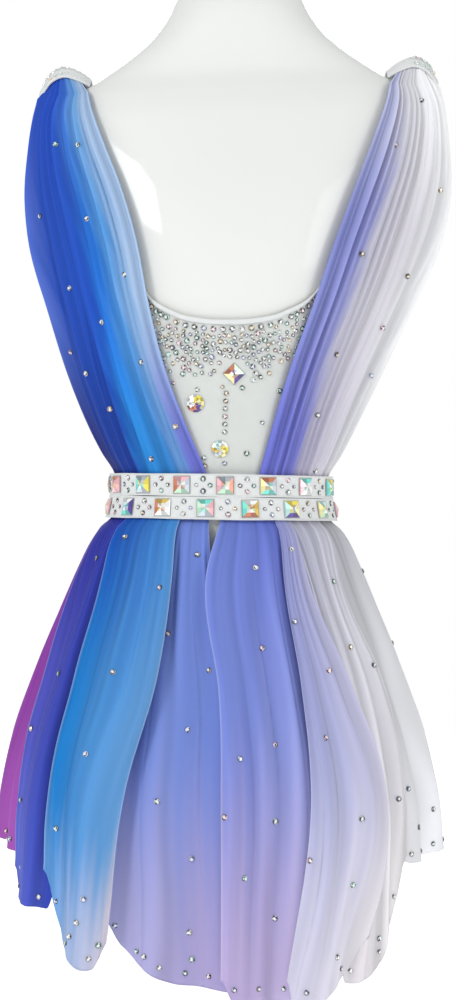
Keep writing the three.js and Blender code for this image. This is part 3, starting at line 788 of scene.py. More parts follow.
def drape_dye_and_fold_shade(name, seed, fold_height):
    """A drape's dye with painted fold shade: the colours run across it, and from one row of them to the next
    down it, then darker in the fold troughs and lighter on the crests.
    """
    top, middle, low = DRAPE_DYES[name]

    def dye(u, v):
        t = clamp(u + 0.015 * ripple(u * 3 + v * 2, seed, [(1.7, 1), (4.1, 0.6)]))
        colour = mix(stops(top, t), stops(middle, t), smooth(v / 0.45)[..., None])
        colour = mix(colour, stops(low, t), smooth((v - 0.55) / 0.4)[..., None])
        # painted shade in the fold troughs and painted highlight on the crests
        return paint_fold_shade(colour, fold_height(u, v), FOLD_SHADE_USUAL)

    return dye


DRAPES = table(
    "side sign inner folds front slot seed",
    ("back_left", -1, "left", 6, False, "mesh_blue", 11),
    ("back_right", 1, "right", 8, False, "mesh_lilac", 23),
    ("front_left", -1, "right", 5, True, "mesh_magenta", 37),
    ("front_right", 1, "right", 5, True, "mesh_white", 41),
)


def make_drapes():
    v = stretches((0, TOP_SHARE, 7), (TOP_SHARE, 1, 90))
    for row in DRAPES:
        node = "drape_" + row["side"]
        at, fold_height = drape(row["sign"], row["inner"], row["folds"], row["front"], row["seed"])
        dye = drape_dye_and_fold_shade(row["side"], row["seed"], fold_height)
        obj = wall(node + "_cloth", at, shares(190), v, DRAPE_WALL, DYED_WITH_PAINTED_LIGHT, dye)
        show_as(obj, node, "gathered")
    for node, sign in SHOULDER_BANDS:
        obj = wall(node + "_cloth", band_face(sign), shares(40), shares(16), BAND_WALL, WHITE_TRIM)
        show_as(obj, node, "stretched")


make_drapes()

# Skirt
SKIRT = table(
    "up width depth step flare",
    (-3, 98, 76.6, 1.5, 0), (-17.5, 101.6, 78.6, 1.5, 0), (-26, 111, 85, 2.2, 0.5),
    (-40, 120, 92, 3.2, 1.2), (-60, 129, 99, 4.2, 2), (-93, 142.5, 109, 5.2, 3.2),
    (-130, 157.5, 121, 6, 4.4), (-167, 171, 132, 6.5, 5.4), (-205, 184, 142, 7, 6.3),
    (-242, 193.5, 151, 7, 7), (-279, 199.5, 157, 7, 7.5), (-330, 202, 161, 7, 8), (-420, 205, 164, 7, 8.5),
)
SKIRT_CURVES = {c: curve(SKIRT, "up", c) for c in ("width", "depth", "step", "flare")}
SKIRT_TOP = -3.0
SKIRT_FLARES = 20
CORNER, CORNER_RISE = 0.12, 16.0
PETAL_WALL = 0.6

# Each petal's layer, the angles of its side edges at EDGE_SHARES of the way down, and its hem: the heights
# of the left end, the lowest point and the right end, and where along the hem the lowest point lies
EDGE_SHARES = (0, 0.16, 0.38, 0.62, 1)
PETALS = table(
    "name layer left right hem low slot",
    (
        "petal_magenta", 0, (-112, -113, -113, -113, -114), (-74, -66, -60, -57, -54),
        (-298, -311, -313), 0.6, "mesh_magenta",
    ),
    (
        "petal_royal", 1, (-84, -72.5, -66, -63.9, -60.5), (-48, -43, -43, -43, -44.5),
        (-338, -350, -352), 0.6, "mesh_royal",
    ),
    (
        "petal_azure", 2, (-57.5, -48, -46, -46, -45), (-21.4, -17.5, -17.5, -23, -27),
        (-332, -392, -386), 0.82, "mesh_azure",
    ),
    (
        "petal_periwinkle_left", 0, (-30, -29, -30, -31, -28.5), (-7, -3, 3, 4, 6),
        (-362, -404, -407), 0.62, "mesh_periwinkle",
    ),
    (
        "petal_periwinkle_right", 1, (1.5, -5.6, -0.7, 0, 0), (30, 29.5, 29, 27, 23),
        (-410, -416, -415), 0.5, "mesh_periwinkle",
    ),
    (
        "petal_lavender", 2, (28.5, 22.3, 21.5, 20, 14), (36, 32.7, 37.9, 42.4, 30),
        (-414, -416, -384), 0.3, "mesh_lavender",
    ),
    (
        "petal_pale", 1, (31.5, 34, 34, 32, 28), (62, 51, 53.5, 51.5, 49),
        (-404, -407, -322), 0.2, "mesh_pale",
    ),
    (
        "petal_white", 0, (52, 48, 47, 46, 45), (110, 111, 112, 112, 113),
        (-314, -316, -288), 0.3, "mesh_white",
    ),
    (
        "petal_front_1", 1, (99, 100, 101, 101.5, 102), (138, 139.5, 141, 141.5, 142),
        (-288, -322, -302), 0.5, "mesh_white",
    ),
    (
        "petal_front_2", 0, (130, 130.5, 131, 131, 131), (168, 169, 170, 170.5, 171),
        (-302, -334, -312), 0.5, "mesh_pink",
    ),
    (
        "petal_front_3", 1, (158, 158, 158, 158.5, 159), (202, 202, 202, 201.5, 201),
        (-312, -344, -312), 0.5, "mesh_pink",
    ),
    (
        "petal_front_4", 0, (192, 191, 190, 189.5, 189), (230, 229.5, 229, 229, 229),
        (-312, -334, -302), 0.5, "mesh_rose",
    ),
    (
        "petal_front_5", 1, (222, 220.5, 219, 218.5, 218), (261, 260, 259, 258.5, 258),
        (-302, -322, -288), 0.5, "mesh_magenta",
    ),
)

# Dye of each petal: colours at its left and right edges, at the belt, halfway down and at the hem
PETAL_DYES = {
    "petal_magenta": ((VIOLET, VIOLET), (MAGENTA, MAGENTA), (srgb(168, 84, 182), srgb(168, 84, 182))),
    # The royal petal's right edge is painted darker: a painted shadow of the azure petal that lies over it
    "petal_royal": (
        (srgb(48, 46, 160), srgb(30, 58, 170)),
        (srgb(84, 88, 196), srgb(24, 54, 158)),
        (srgb(98, 110, 206), srgb(48, 72, 188)),
    ),
    "petal_azure": (
        (srgb(10, 80, 184), srgb(74, 146, 216)),
        (srgb(20, 130, 208), srgb(112, 168, 222)),
        (srgb(100, 164, 224), srgb(212, 206, 222)),
    ),
    "petal_periwinkle_left": (
        (srgb(118, 146, 222), srgb(114, 136, 216)),
        (srgb(130, 154, 226), srgb(116, 138, 216)),
        (srgb(178, 177, 220), srgb(180, 165, 212)),
    ),
    "petal_periwinkle_right": (
        (srgb(116, 136, 216), srgb(102, 114, 206)),
        (srgb(122, 140, 218), srgb(160, 168, 222)),
        (srgb(190, 174, 217), srgb(204, 192, 224)),
    ),
    "petal_lavender": (
        (srgb(150, 156, 214), srgb(176, 176, 210)),
        (srgb(168, 173, 220), srgb(200, 198, 222)),
        (srgb(214, 212, 232), srgb(232, 228, 232)),
    ),
    "petal_pale": (
        (srgb(186, 186, 206), srgb(204, 204, 214)),
        (srgb(228, 226, 234), srgb(226, 224, 230)),
        (srgb(234, 229, 234), srgb(232, 229, 230)),
    ),
    "petal_white": ((srgb(188, 188, 196), srgb(204, 205, 210)), (GREY, WHITE), (WHITE, WHITE)),
    "petal_front_1": ((WHITE, WHITE), (WHITE, srgb(240, 226, 232)), (srgb(240, 230, 236), PINK)),
    "petal_front_2": ((srgb(240, 220, 228), PINK), (PINK, srgb(232, 160, 186)), (PINK, srgb(228, 140, 172))),
    "petal_front_3": ((PINK, ROSE), (srgb(232, 160, 186), ROSE), (srgb(228, 130, 164), srgb(202, 66, 122))),
    "petal_front_4": ((ROSE, srgb(182, 70, 150)), (ROSE, MAGENTA), (srgb(206, 66, 124), MAGENTA)),
    "petal_front_5": ((MAGENTA, VIOLET), (MAGENTA, srgb(130, 64, 172)), (srgb(186, 66, 154), MAGENTA)),
}

# Where a petal's hem colour begins to come in, as a share of the way down, and how strong its painted fold
# shade is
FADE = {
    "petal_azure": 0.7,
    "petal_periwinkle_left": 0.45,
    "petal_periwinkle_right": 0.4,
    "petal_lavender": 0.42,
}
FADE_USUAL = 0.5
FOLD_SHADE_BY_PETAL = {"petal_white": 0.3, "petal_pale": 0.28}


def edge_angle(angles):
    """A side edge's angle on the way down."""
    rows = [{"down": share, "angle": angle} for share, angle in zip(EDGE_SHARES, angles)]
    return curve(rows, "down", "angle")


def petal(row, seed):
    """A petal's surface from the belt to its hem, and how high its folds stand."""
    left, lowest, right = row["hem"]
    left_angle, right_angle = edge_angle(row["left"]), edge_angle(row["right"])

    def hem_up(u):
        reach = np.where(u < row["low"], u / row["low"], (1 - u) / (1 - row["low"]))
        corner = CORNER_RISE * (1 - smooth(np.minimum(u, 1 - u) / CORNER))
        return mix(np.where(u < row["low"], left, right), lowest, np.sin(reach * math.pi / 2)) + corner

    def fold_height(u, v):
        """Gathers that open out below the belt, and broad soft folds lower down."""
        drift = 0.04 * ripple(v * 1.1, seed, [(1, 1), (2.1, 0.5)])
        soft = ripple(u + drift, seed + 1, [(1.9, 0.5), (3.4, 0.4), (5.3, 0.25)]) * smooth(v / 0.25)
        main = fold_wave(ripple(u * 0.7, seed + 4, [(0.8, 0.25)]) + u * 3.3 + drift)
        main = main * (1 - 0.6 * smooth((v - 0.3) / 0.5))
        gathers = ripple(u + drift * 0.4, seed + 2, [(6.4, 0.5), (10.3, 0.35), (15, 0.15)])
        gathers = gathers * (1 - smooth(v / 0.4))
        line = ripple(u + 0.5 * drift, seed + 6, [(1.7, 0.6), (2.9, 0.5)])
        crisp = np.exp(-((line / 0.09) ** 2)) * (0.35 + 0.65 * clamp(ripple(u + v, seed + 7, [(0.9, 1)])))
        return 0.55 * soft + 0.4 * main + 0.6 * gathers - 0.7 * crisp * (1 - 0.5 * smooth(v / 0.9))

    def at(u, v, depth):
        up = mix(SKIRT_TOP, hem_up(u), v)
        down = (SKIRT_TOP - up) / (SKIRT_TOP - lowest)
        angle = mix(left_angle(down), right_angle(down), u)
        a = np.radians(angle)
        flare = np.sin(SKIRT_FLARES * a + 0.7) * 0.7 + np.sin((SKIRT_FLARES - 7) * a + 2.1) * 0.3
        step = SKIRT_CURVES["step"](up)
        room = np.maximum(0, step - 1.4)
        edge = 1 - smooth(np.minimum(u, 1 - u) / 0.035)
        lip = 1.1 * edge * smooth(down / 0.3) + 0.6 * smooth((v - 0.975) / 0.025)
        crease = room * 0.42 * fold_height(u, v)
        out = row["layer"] * step + SKIRT_CURVES["flare"](up) * flare + crease + lip - depth
        width = SKIRT_CURVES["width"](up) + out
        deep = SKIRT_CURVES["depth"](up) + out
        return stack(width * np.sin(a), -deep * np.cos(a), up)

    return at, fold_height


def petal_dye_and_painted_light(name, seed, fold_height):
    """A petal's dye between its edges and from the belt to the hem, with painted fold shade and a painted
    highlight along its side edges.
    """
    top, middle, hem = PETAL_DYES[name]
    fade = FADE.get(name, FADE_USUAL)
    amount = FOLD_SHADE_BY_PETAL.get(name, FOLD_SHADE_USUAL)

    def dye(u, v):
        t = clamp(u + 0.03 * ripple(u * 2 + v, seed + 9, [(1.3, 1), (3.7, 0.5)]))[..., None] ** 1.3
        w = clamp(v + 0.03 * ripple(u * 4, seed + 5, [(1, 1), (2.7, 0.6)]))
        belt, half, low = (mix(left, right, t) for left, right in (top, middle, hem))
        colour = mix(belt, half, smooth(w / 0.55)[..., None])
        colour = mix(colour, low, smooth((w - fade) / (1 - fade))[..., None])
        # painted shade in the fold troughs and painted highlight on the crests
        colour = paint_fold_shade(colour, fold_height(u, v), amount)
        # a painted highlight: the colour lightened towards white near the side edges
        edge = 0.3 * (1 - smooth(np.minimum(u, 1 - u) / 0.016))[..., None]
        return mix(colour, 0.9, edge)

    return dye


def make_skirt():
    v = stretches((0, 0.12, 16), (0.12, 0.96, 62), (0.96, 1, 5))
    for k, row in enumerate(PETALS):
        name, seed = row["name"], 100 + 13 * k
        at, fold_height = petal(row, seed)
        obj = wall(name + "_cloth", at, shares(96), v, PETAL_WALL, DYED_WITH_PAINTED_LIGHT, petal_dye_and_painted_light(name, seed, fold_height))
        show_as(obj, name, "hung")


# Belt and stones
BELT_IN, BELT_WALL, BELT_ROW, BELT_BOTTOM = 8.8, 1.8, 20.0, -17.4
BELT_STONES, BELT_STONE, STONE_RISE = 15, 15.6, 4.0
LOWER_SHIFT, UPPER_SHIFT = 0.65, 0.09
ARC_STEPS = 720


def arc_lengths():
    """Lengths along the belt, from the middle of the back round, at equal steps of the angle."""
    width, depth = body_sizes(np.float64(0), BELT_IN + BELT_WALL)
    t = (np.arange(1, ARC_STEPS + 1) - 0.5) * 2 * math.pi / ARC_STEPS
    steps = np.hypot(width * np.cos(t), depth * np.sin(t)) * 2 * math.pi / ARC_STEPS
    return np.concatenate([[0], np.cumsum(steps)])


ARC = arc_lengths()
BELT_LENGTH = ARC[-1]
PITCH = BELT_LENGTH / BELT_STONES


def angle_along(length):
    """The angle round the belt at a length along it."""
    target = np.mod(length, BELT_LENGTH)
    return np.interp(target, ARC, np.arange(ARC_STEPS + 1) * 360 / ARC_STEPS)


IRIDESCENT = [
    srgb(246, 226, 84), srgb(250, 242, 176), srgb(120, 226, 212), srgb(196, 240, 236), srgb(246, 186, 192),
    srgb(204, 122, 88), srgb(248, 250, 248), srgb(206, 216, 226), srgb(84, 60, 150), srgb(196, 236, 204),
    srgb(222, 188, 84), srgb(170, 180, 188), srgb(244, 246, 244),
]
SMALL_TINTS = [
    srgb(244, 246, 244), srgb(226, 240, 234), srgb(200, 236, 222), srgb(244, 214, 220), srgb(246, 226, 190),
    srgb(214, 220, 244), srgb(236, 236, 232),
]


class Gems:
    """Stones gathered into one mesh, with a tone for each facet that holds its painted reflection."""

    def __init__(self, name, seed):
        self.name, self.rng = name, random.Random(seed)
        self.points, self.faces, self.tones = [], [], []

    def add(self, rings, table_tone, tones):
        """rings: lists of points from the foot up; the last ring closes as a flat table or a point."""
        base = len(self.points)
        sides = len(rings[0])
        for ring in rings:
            self.points.extend(ring)
        for j in range(len(rings) - 1):
            count = len(rings[j + 1])
            for k in range(sides):
                a, b = base + j * sides + k, base + j * sides + (k + 1) % sides
                if count == 1:
                    self.faces.append((a, b, base + (j + 1) * sides))
                else:
                    self.faces.append((a, b, b + sides, a + sides))
                self.tones.append(tones(j, k))
        if len(rings[-1]) > 1:
            top = base + (len(rings) - 1) * sides
            self.faces.append(tuple(top + k for k in range(sides)))
            self.tones.append(table_tone)

    def build(self, material):
        points = np.array([tuple(p) for p in self.points])
        obj = new_object(self.name, points, [list(f) for f in self.faces], material, smooth_faces=False)
        mesh = obj.data
        attribute = mesh.color_attributes.new("FacetToneAndPaintedReflection", "FLOAT_COLOR", "CORNER")
        colours = np.ones((len(mesh.loops), 4))
        for polygon in mesh.polygons:
            first = polygon.loop_start
            colours[first : first + polygon.loop_total, :3] = self.tones[polygon.index]
        attribute.data.foreach_set("color", colours.ravel())
        return obj


def frame_at(point, normal, up=Vector((0, 0, 1))):
    n = normal.normalized()
    side = n.cross(up).normalized() * -1
    return point, side, n.cross(side).normalized() * -1, n


def gem_rings(place, profile, sides, turn, square=False):
    """Rings of points from (radius, height) pairs in millimetres above the cloth, round or square."""
    point, side, tall, normal = place
    rings = []
    for radius, height in profile:
        axis = point + normal * (height * MM)
        if radius == 0:
            rings.append([axis])
            continue
        ring = []
        for k in range(sides):
            a = turn + 2 * math.pi * k / sides
            corner = square and k % (sides // 4) == 0
            reach = radius * (math.sqrt(2) if corner else 1) * MM
            ring.append(axis + side * (reach * math.cos(a)) + tall * (reach * math.sin(a)))
        rings.append(ring)
    return rings


# The last of these colours is a painted glint for one facet of each square stone
DARK_GIRDLE, PALE_GIRDLE, PAINTED_GLINT = srgb(40, 44, 48), srgb(196, 200, 196), srgb(252, 252, 250)


def small_gem(gems, place, radius, pale=False):
    """A round rhinestone: a dark or pale girdle, slanted facets painted light and dark as reflections, and a
    table painted bright as a highlight.
    """
    rng = gems.rng
    sides = 8
    profile = [(1, 0.2), (0.8, 0.42), (0.42, 0.62)]
    profile = [(radius, -0.2)] + [(radius * wide, radius * high) for wide, high in profile]
    rings = gem_rings(place, profile, sides, rng.random())
    tint = rng.choice(SMALL_TINTS)
    # painted reflections: each facet's tint darkened or kept bright at random
    tones = [rng.choice((0.03, 0.08, 0.3, 0.75, 0.95)) * tint for _ in range(sides)]
    girdle = DARK_GIRDLE
    if pale:
        girdle = PALE_GIRDLE
        tones = [mix(tone, tint, 0.72) for tone in tones]
    # the table's lighter tint is a painted highlight
    gems.add(rings, mix(tint, 1.0, 0.6), lambda j, k: girdle if j == 0 else tones[(k + 3 * j) % sides])


def square_gem(gems, place, half, turn, rise):
    """A square pyramid stone: facets in pairs round a small table, painted lighter and darker as reflections
    with one painted glint, on a thin setting.
    """
    rng = gems.rng
    setting = gem_rings(place, [(half, -0.3), (half, 0.7)], 4, turn, True)
    gems.add(setting, srgb(170, 168, 162), lambda j, k: srgb(150, 148, 144))
    tones = [rng.choice(IRIDESCENT) for _ in range(4)]
    steps = ((0.97, 0.7), (0.9, 1.5), (0.46, mix(1.5, rise, 0.5)), (0.1, rise))
    rings = gem_rings(place, [(half * share, height) for share, height in steps], 8, turn, True)
    # the facet that gets the painted glint
    glint_facet = rng.randrange(8)

    def tone(j, k):
        base = tones[(k // 2) % 4]
        other = tones[(k // 2 + 1 + k % 2) % 4]
        # the foot and the facets are painted darker and lighter as reflections
        if j == 0:
            return 0.7 * base
        if k == glint_facet and j == 2:
            return PAINTED_GLINT
        if j == 2:
            return mix(base, other, 0.6) * (0.6, 1.15, 0.9, 1.25)[(k + 2 * j) % 4]
        return base * (1.1, 0.6, 1.2, 0.95)[(k * 3 + j) % 4]

    gems.add(rings, tones[0], tone)


def round_gem(gems, place, radius, rise):
    """A round pointed stone with six pairs of facets painted in turn light and dark as reflections."""
    tones = [gems.rng.choice(IRIDESCENT) for _ in range(6)]
    profile = [(radius, -0.3), (radius, 0.9)]
    profile += [(radius * 0.72, rise * 0.55), (radius * 0.34, rise * 0.85), (0, rise)]

    def tone(j, k):
        if j == 0:
            return srgb(120, 122, 124)
        # painted reflections: facets in turn lighter and darker
        return (1.1, 0.55)[(k + j) % 2] * tones[(k + j) // 2 % 6]

    gems.add(gem_rings(place, profile, 12, 0.26), None, tone)


def surface_place(at, u, v):
    """A point and outward normal on a surface at (u, v)."""
    e = 0.004

    def point_at(a, b):
        return Vector(pose(at(np.float64(a), np.float64(b), 0.0)).tolist())

    p = point_at(u, v)
    across = point_at(u + e, v) - point_at(u - e, v)
    down = point_at(u, v + e) - point_at(u, v - e)
    n = across.cross(down)
    outward = Vector((p.x - MIDDLE_X, p.y, 0))
    if n.dot(outward) < 0:
        n.negate()
    return frame_at(p, n)


def project(points):
    """Where points in metres fall in the photograph's frame."""
    away = points[..., 1] - CAMERA[1]
    scale = VIEW_PIXELS / VIEW_HEIGHT * (-CAMERA[1]) / away
    px = VIEW_CENTRE[0] + (points[..., 0] - CAMERA[0]) * scale
    py = VIEW_CENTRE[1] - (points[..., 2] - CAMERA[2]) * scale
    return np.stack([px, py], -1)


def place_at_pixel(name, pixel):
    """The (u, v) of a sheet that lies under a place in the view."""
    facts = SHEETS[name]
    seen = project(facts["outer"])
    gap = np.hypot(seen[..., 0] - pixel[0], seen[..., 1] - pixel[1])
    j, i = np.unravel_index(np.argmin(gap), gap.shape)
    return float(facts["u"][j, i]), float(facts["v"][j, i]), float(gap[j, i])


BELT_ROWS = table(
    "name bottom shift square_seed small_seed",
    ("belt_lower", BELT_BOTTOM, LOWER_SHIFT, 7, 17),
    ("belt_upper", BELT_BOTTOM + BELT_ROW + SEAM, UPPER_SHIFT, 5, 15),
)
BELT_CLOTH = 1.6
CORD_IN, CORD_WIDTH = 0.035, 0.03

# One square stone and four small ones to a pitch: how far along, how far up the row, and the small radius
BELT_PATTERN = table(
    "along rise radius",
    (0, 0.5, None), (PITCH / 2 - 6.2, 0.5, 2.0), (PITCH / 2 + 6.2, 0.5, 2.0), (PITCH / 2, 0.78, 2.5),
    (PITCH / 2, 0.24, 2.5),
)


def belt_face(bottom):
    """A row of the belt, with a corded edge above and below."""

    def face(u, v, depth):
        cord = sum(np.exp(-(((v - place) / CORD_WIDTH) ** 2)) for place in (CORD_IN, 1 - CORD_IN))
        ease = 0.25 * ripple(u, 3, [(9, 1), (17, 0.5)])
        up = bottom + BELT_ROW * v + 0.3 * ripple(u, 8, [(5, 1), (11, 0.6)]) * (v - 0.5)
        return body(u * 360, up, BELT_IN + BELT_WALL + 0.8 * cord + ease - depth)

    return face


def stud_belt(row, at):
    """The stones of a row of the belt."""
    squares = Gems(row["name"] + "_squares", row["square_seed"])
    smalls = Gems(row["name"] + "_crystals", row["small_seed"])
    for k in range(BELT_STONES):
        for stone in BELT_PATTERN:
            u = float(angle_along((k + row["shift"]) * PITCH + stone["along"])) / 360
            place = surface_place(at, u, stone["rise"])
            if stone["radius"] is None:
                square_gem(squares, place, BELT_STONE / 2, math.pi / 4, STONE_RISE)
            else:
                small_gem(smalls, place, stone["radius"] + squares.rng.uniform(-0.25, 0.25))
    squares.build(STONE)
    smalls.build(SMALL_STONE)


def make_belt():
    for row in BELT_ROWS:
        at = belt_face(row["bottom"])
        obj = wall(row["name"] + "_cloth", at, shares(300), shares(26), BELT_CLOTH, WHITE_TRIM, closed=True)
        show_as(obj, row["name"], "stretched")
        stud_belt(row, at)


make_belt()
make_skirt()

# The large stones of the bodice's back, by their distance from the centre line and their height
BACK_STONES = table(
    "name x up radius sides",
    ("stone_square", 9, 111, 10, 4), ("stone_round_upper", -23.5, 85, 8, 12),
    ("stone_round_lower", -1, 45, 7.6, 12),
)


SEARCH_STEPS, PANEL_SPREAD, LEAST_HEIGHT = 24, 420, 60.0


def bodice_uv(at, top_of, x, up):
    """The panel's (u, v) at a distance from the centre line and a height, found step by step."""
    u, v = 0.5, 0.5
    for _ in range(SEARCH_STEPS):
        p = at(np.float64(u), np.float64(v), PANEL_OUT)
        u += (x - float(p[0])) / PANEL_SPREAD
        v += (up - float(p[2])) / max(LEAST_HEIGHT, float(top_of(2 * u - 1)))
        v = min(1.0, max(0.0, v))
    return u, v


def stone_ground(at):
    """The face of a panel that small stones sit on."""
    return lambda u, v, depth: at(u, v, PANEL_OUT + 0.15 - depth)


back_ground, front_ground = stone_ground(back_at), stone_ground(front_at)

# Necklines by distance from the centre line, the first row's inset, and single stones (x, up, radius)
BACK_NECK = ([0, 25, 50, 74, 90], [157, 158.6, 165, 184, 205])
FRONT_NECK = ([0, 20, 45, 60], [196, 203, 225, 244])
ROW_INSET = 0.985
BACK_ROW = {"half": 19, "reach": 0.4, "drop": 7.6, "radius": 2.7}
FRONT_ROW = {"half": 13, "reach": 0.3, "drop": 9.2, "radius": 2.3}
FIELD_TRIES, FIELD_HALF, FIELD_FADE = 5200, 84, 5.5
FIELD_FROM, FIELD_DENSE_TO, FIELD_TO = 10.5, 31, 52
BACK_SINGLES = (
    (-44, 103, 1.8), (-22.5, 97, 2.2), (-0.5, 99.5, 1.8), (17, 99, 2.4), (26, 106, 2.4), (40, 112, 2.2),
    (50, 97, 2.6), (36, 69, 2.2), (22.5, 41.5, 2.6), (3, 32.5, 2.2), (-15, 37, 2.2), (-14.5, 30, 2.4),
    (-46, 88, 2.2),
)


def row_places(row):
    """Even places along a neckline's row of stones, from side to side."""
    return [k / row["half"] * row["reach"] for k in range(-row["half"], row["half"] + 1)]


def make_large_stones():
    gems = Gems("bodice_large_stones", 29)
    for row in BACK_STONES:
        place = surface_place(back_ground, *bodice_uv(back_at, back_up, row["x"], row["up"]))
        if row["sides"] == 4:
            square_gem(gems, place, row["radius"] / math.sqrt(2), 0, 4.2)
        else:
            round_gem(gems, place, row["radius"], 3.8)
    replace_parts(gems.build(STONE), *(row["name"] for row in BACK_STONES))


def make_back_stones():
    """A row along the back neckline, a field that thins out below it, a short string and single stones."""
    gems = Gems("bodice_crystals", 31)
    rng = random.Random(77)
    half_angle = curve(BACK_TOP, "u", "angle")
    taken = [(r["x"], r["up"], r["radius"] + 2) for r in BACK_STONES]

    def put(x, up, radius, near=0.96):
        if all(math.hypot(x - a, up - b) >= (radius + c) * near for a, b, c in taken):
            taken.append((x, up, radius))
            small_gem(gems, surface_place(back_ground, *bodice_uv(back_at, back_up, x, up)), radius)

    for s in row_places(BACK_ROW):
        top = float(back_up(s))
        x = float(body(half_angle(abs(s)) * math.copysign(1, s), top, PANEL_OUT)[0])
        put(x * ROW_INSET, top - BACK_ROW["drop"], BACK_ROW["radius"])
    for _ in range(FIELD_TRIES):
        x = rng.uniform(-FIELD_HALF, FIELD_HALF)
        drop = rng.uniform(FIELD_FROM, FIELD_TO)
        keep = 1.0
        if drop >= FIELD_DENSE_TO:
            keep = math.exp(-(drop - FIELD_DENSE_TO) / FIELD_FADE) * (0.5 + abs(x) / 90)
        if rng.random() < keep:
            edge = float(np.interp(abs(x), *BACK_NECK))
            put(x, edge - drop, rng.choice((1.8, 2.0, 2.3, 2.6)), 1.0)
    for k in range(6):
        put(3, 94 - k * 6.8, 2.3)
    for stone in BACK_SINGLES:
        put(*stone)
    gems.build(SMALL_STONE)


def make_front_stones():
    """A row under the front neckline and a scatter that thins out below it."""
    gems = Gems("bodice_front_crystals", 33)
    rng = random.Random(79)
    taken = []

    def put(x, up, radius):
        small_gem(gems, surface_place(front_ground, *bodice_uv(front_at, front_up, x, up)), radius)

    for s in row_places(FRONT_ROW):
        x = float(front_at(np.float64((s + 1) / 2), np.float64(1.0), PANEL_OUT)[0])
        put(x * ROW_INSET, float(front_up(s)) - FRONT_ROW["drop"], FRONT_ROW["radius"])
    for _ in range(700):
        x, drop = rng.uniform(-58, 58), 14 + rng.expovariate(1 / 12)
        up = float(np.interp(abs(x), *FRONT_NECK)) - drop
        radius = rng.choice((1.6, 1.9, 2.2))
        if drop < 60 and all(math.hypot(x - a, up - b) > radius + c + 0.4 for a, b, c in taken):
            taken.append((x, up, radius))
            put(x, up, radius)
    gems.build(SMALL_STONE)


def make_band_stones():
    """Small stones all over the left band, larger ones on the outer half of the right band."""
    for node, sign in SHOULDER_BANDS:
        gems = Gems(node + "_crystals", 51 + sign)
        at = band_face(sign)
        middle = mix(band_x(0.0), band_x(1.0), 0.5)
        for i in range(9):
            for j in range(5):
                u = 0.06 + 0.88 * (i + 0.5 * (j % 2)) / 9
                bare = sign > 0 and band_x(u) < middle
                if u < 0.97 and not bare:
                    place = surface_place(at, u, 0.08 + 0.84 * j / 4)
                    small_gem(gems, place, 2.0 if sign < 0 else 2.5, pale=True)
        gems.build(SMALL_STONE)


make_large_stones()
make_back_stones()
make_front_stones()
make_band_stones()

# Single crystals on the mesh, by their places in the photograph's frame
SCATTER = {
    "drape_back_left_cloth": [
        (48.5, 83.5), (55.5, 144), (77.5, 143.5), (40, 216.5), (87, 219), (69.5, 286.5), (125, 276),
        (101.5, 320.5), (70.5, 350), (86, 373.5), (141.5, 362.5), (175.5, 424.5), (151.5, 459.5),
        (110, 410),
    ],
    "drape_back_right_cloth": [
        (421, 100.5), (396, 145), (362, 255), (407.5, 276.5), (440, 190), (383, 330), (336.5, 355),
        (371.5, 374.5), (317.5, 417), (315.5, 470),
    ],
    "petal_royal_cloth": [(58.5, 674.5), (31.5, 729), (21.5, 800.5), (22, 867), (70, 585), (96, 560)],
    "petal_magenta_cloth": [(10.5, 839), (22, 740)],
    "petal_azure_cloth": [
        (125, 536), (159.5, 587.5), (113.5, 670.5), (84.5, 756.5), (57, 828), (84, 897), (77.5, 920.5),
        (69, 937), (97, 946),
    ],
    "petal_periwinkle_left_cloth": [
        (197, 556), (168.5, 633), (209, 668), (188, 728.5), (157.5, 800), (191.5, 861.5), (189.5, 930),
        (145, 955.5), (191.5, 960),
    ],
    "petal_periwinkle_right_cloth": [
        (256, 565.5), (240, 756.5), (275, 744.5), (222.5, 818.5), (276, 822.5), (244.5, 879), (275, 919.5),
        (262, 650),
    ],
    "petal_lavender_cloth": [
        (291.5, 548.5), (294.5, 623), (330.5, 673), (325, 735), (361.5, 819), (353.5, 885), (338, 958),
        (310, 860),
    ],
    "petal_pale_cloth": [(332.5, 581), (350, 647), (374.5, 665), (380, 939.5), (398, 800), (396, 715)],
    "petal_white_cloth": [(364, 570), (395, 640), (407.5, 789.5), (432.5, 808.5), (419, 828), (425, 745)],
}


# Single crystals on the front, which the photograph doesn't show, as shares across and down
PETAL_SINGLES = ((0.3, 0.2), (0.7, 0.34), (0.35, 0.5), (0.72, 0.64), (0.4, 0.8))
DRAPE_SINGLES = (
    (0.3, 0.12), (0.7, 0.2), (0.25, 0.3), (0.6, 0.42), (0.3, 0.54), (0.75, 0.6), (0.4, 0.74), (0.6, 0.88),
)
HEM_ROW, HEM_PITCH = 0.975, 5.5


def hem_stones(gems, at, count, radius):
    for k in range(count):
        small_gem(gems, surface_place(at, (k + 0.5) / count, HEM_ROW), radius)


def scatter_back(name, pixels):
    """Stones at their places in the view, where the sheet shows there, and a row along a petal's hem."""
    gems = Gems(name.replace("_cloth", "_crystals"), 200 + len(pixels))
    at = SHEETS[name]["at"]
    for pixel in pixels:
        u, v, gap = place_at_pixel(name, pixel)
        if gap < 6 and 0.01 < u < 0.99 and 0.03 < v < 0.99:
            small_gem(gems, surface_place(at, u, v), 2.6)
    for row in PETALS:
        if name == row["name"] + "_cloth":
            hem_stones(gems, at, int((row["right"][4] - row["left"][4]) / HEM_PITCH), 2.4)
    gems.build(SMALL_STONE)


def scatter_front(node, hem_count, singles):
    gems = Gems(node + "_crystals", len(node))
    at = SHEETS[node + "_cloth"]["at"]
    hem_stones(gems, at, hem_count, 2.2)
    for u, v in singles:
        small_gem(gems, surface_place(at, u, v), 2.3)
    gems.build(SMALL_STONE)


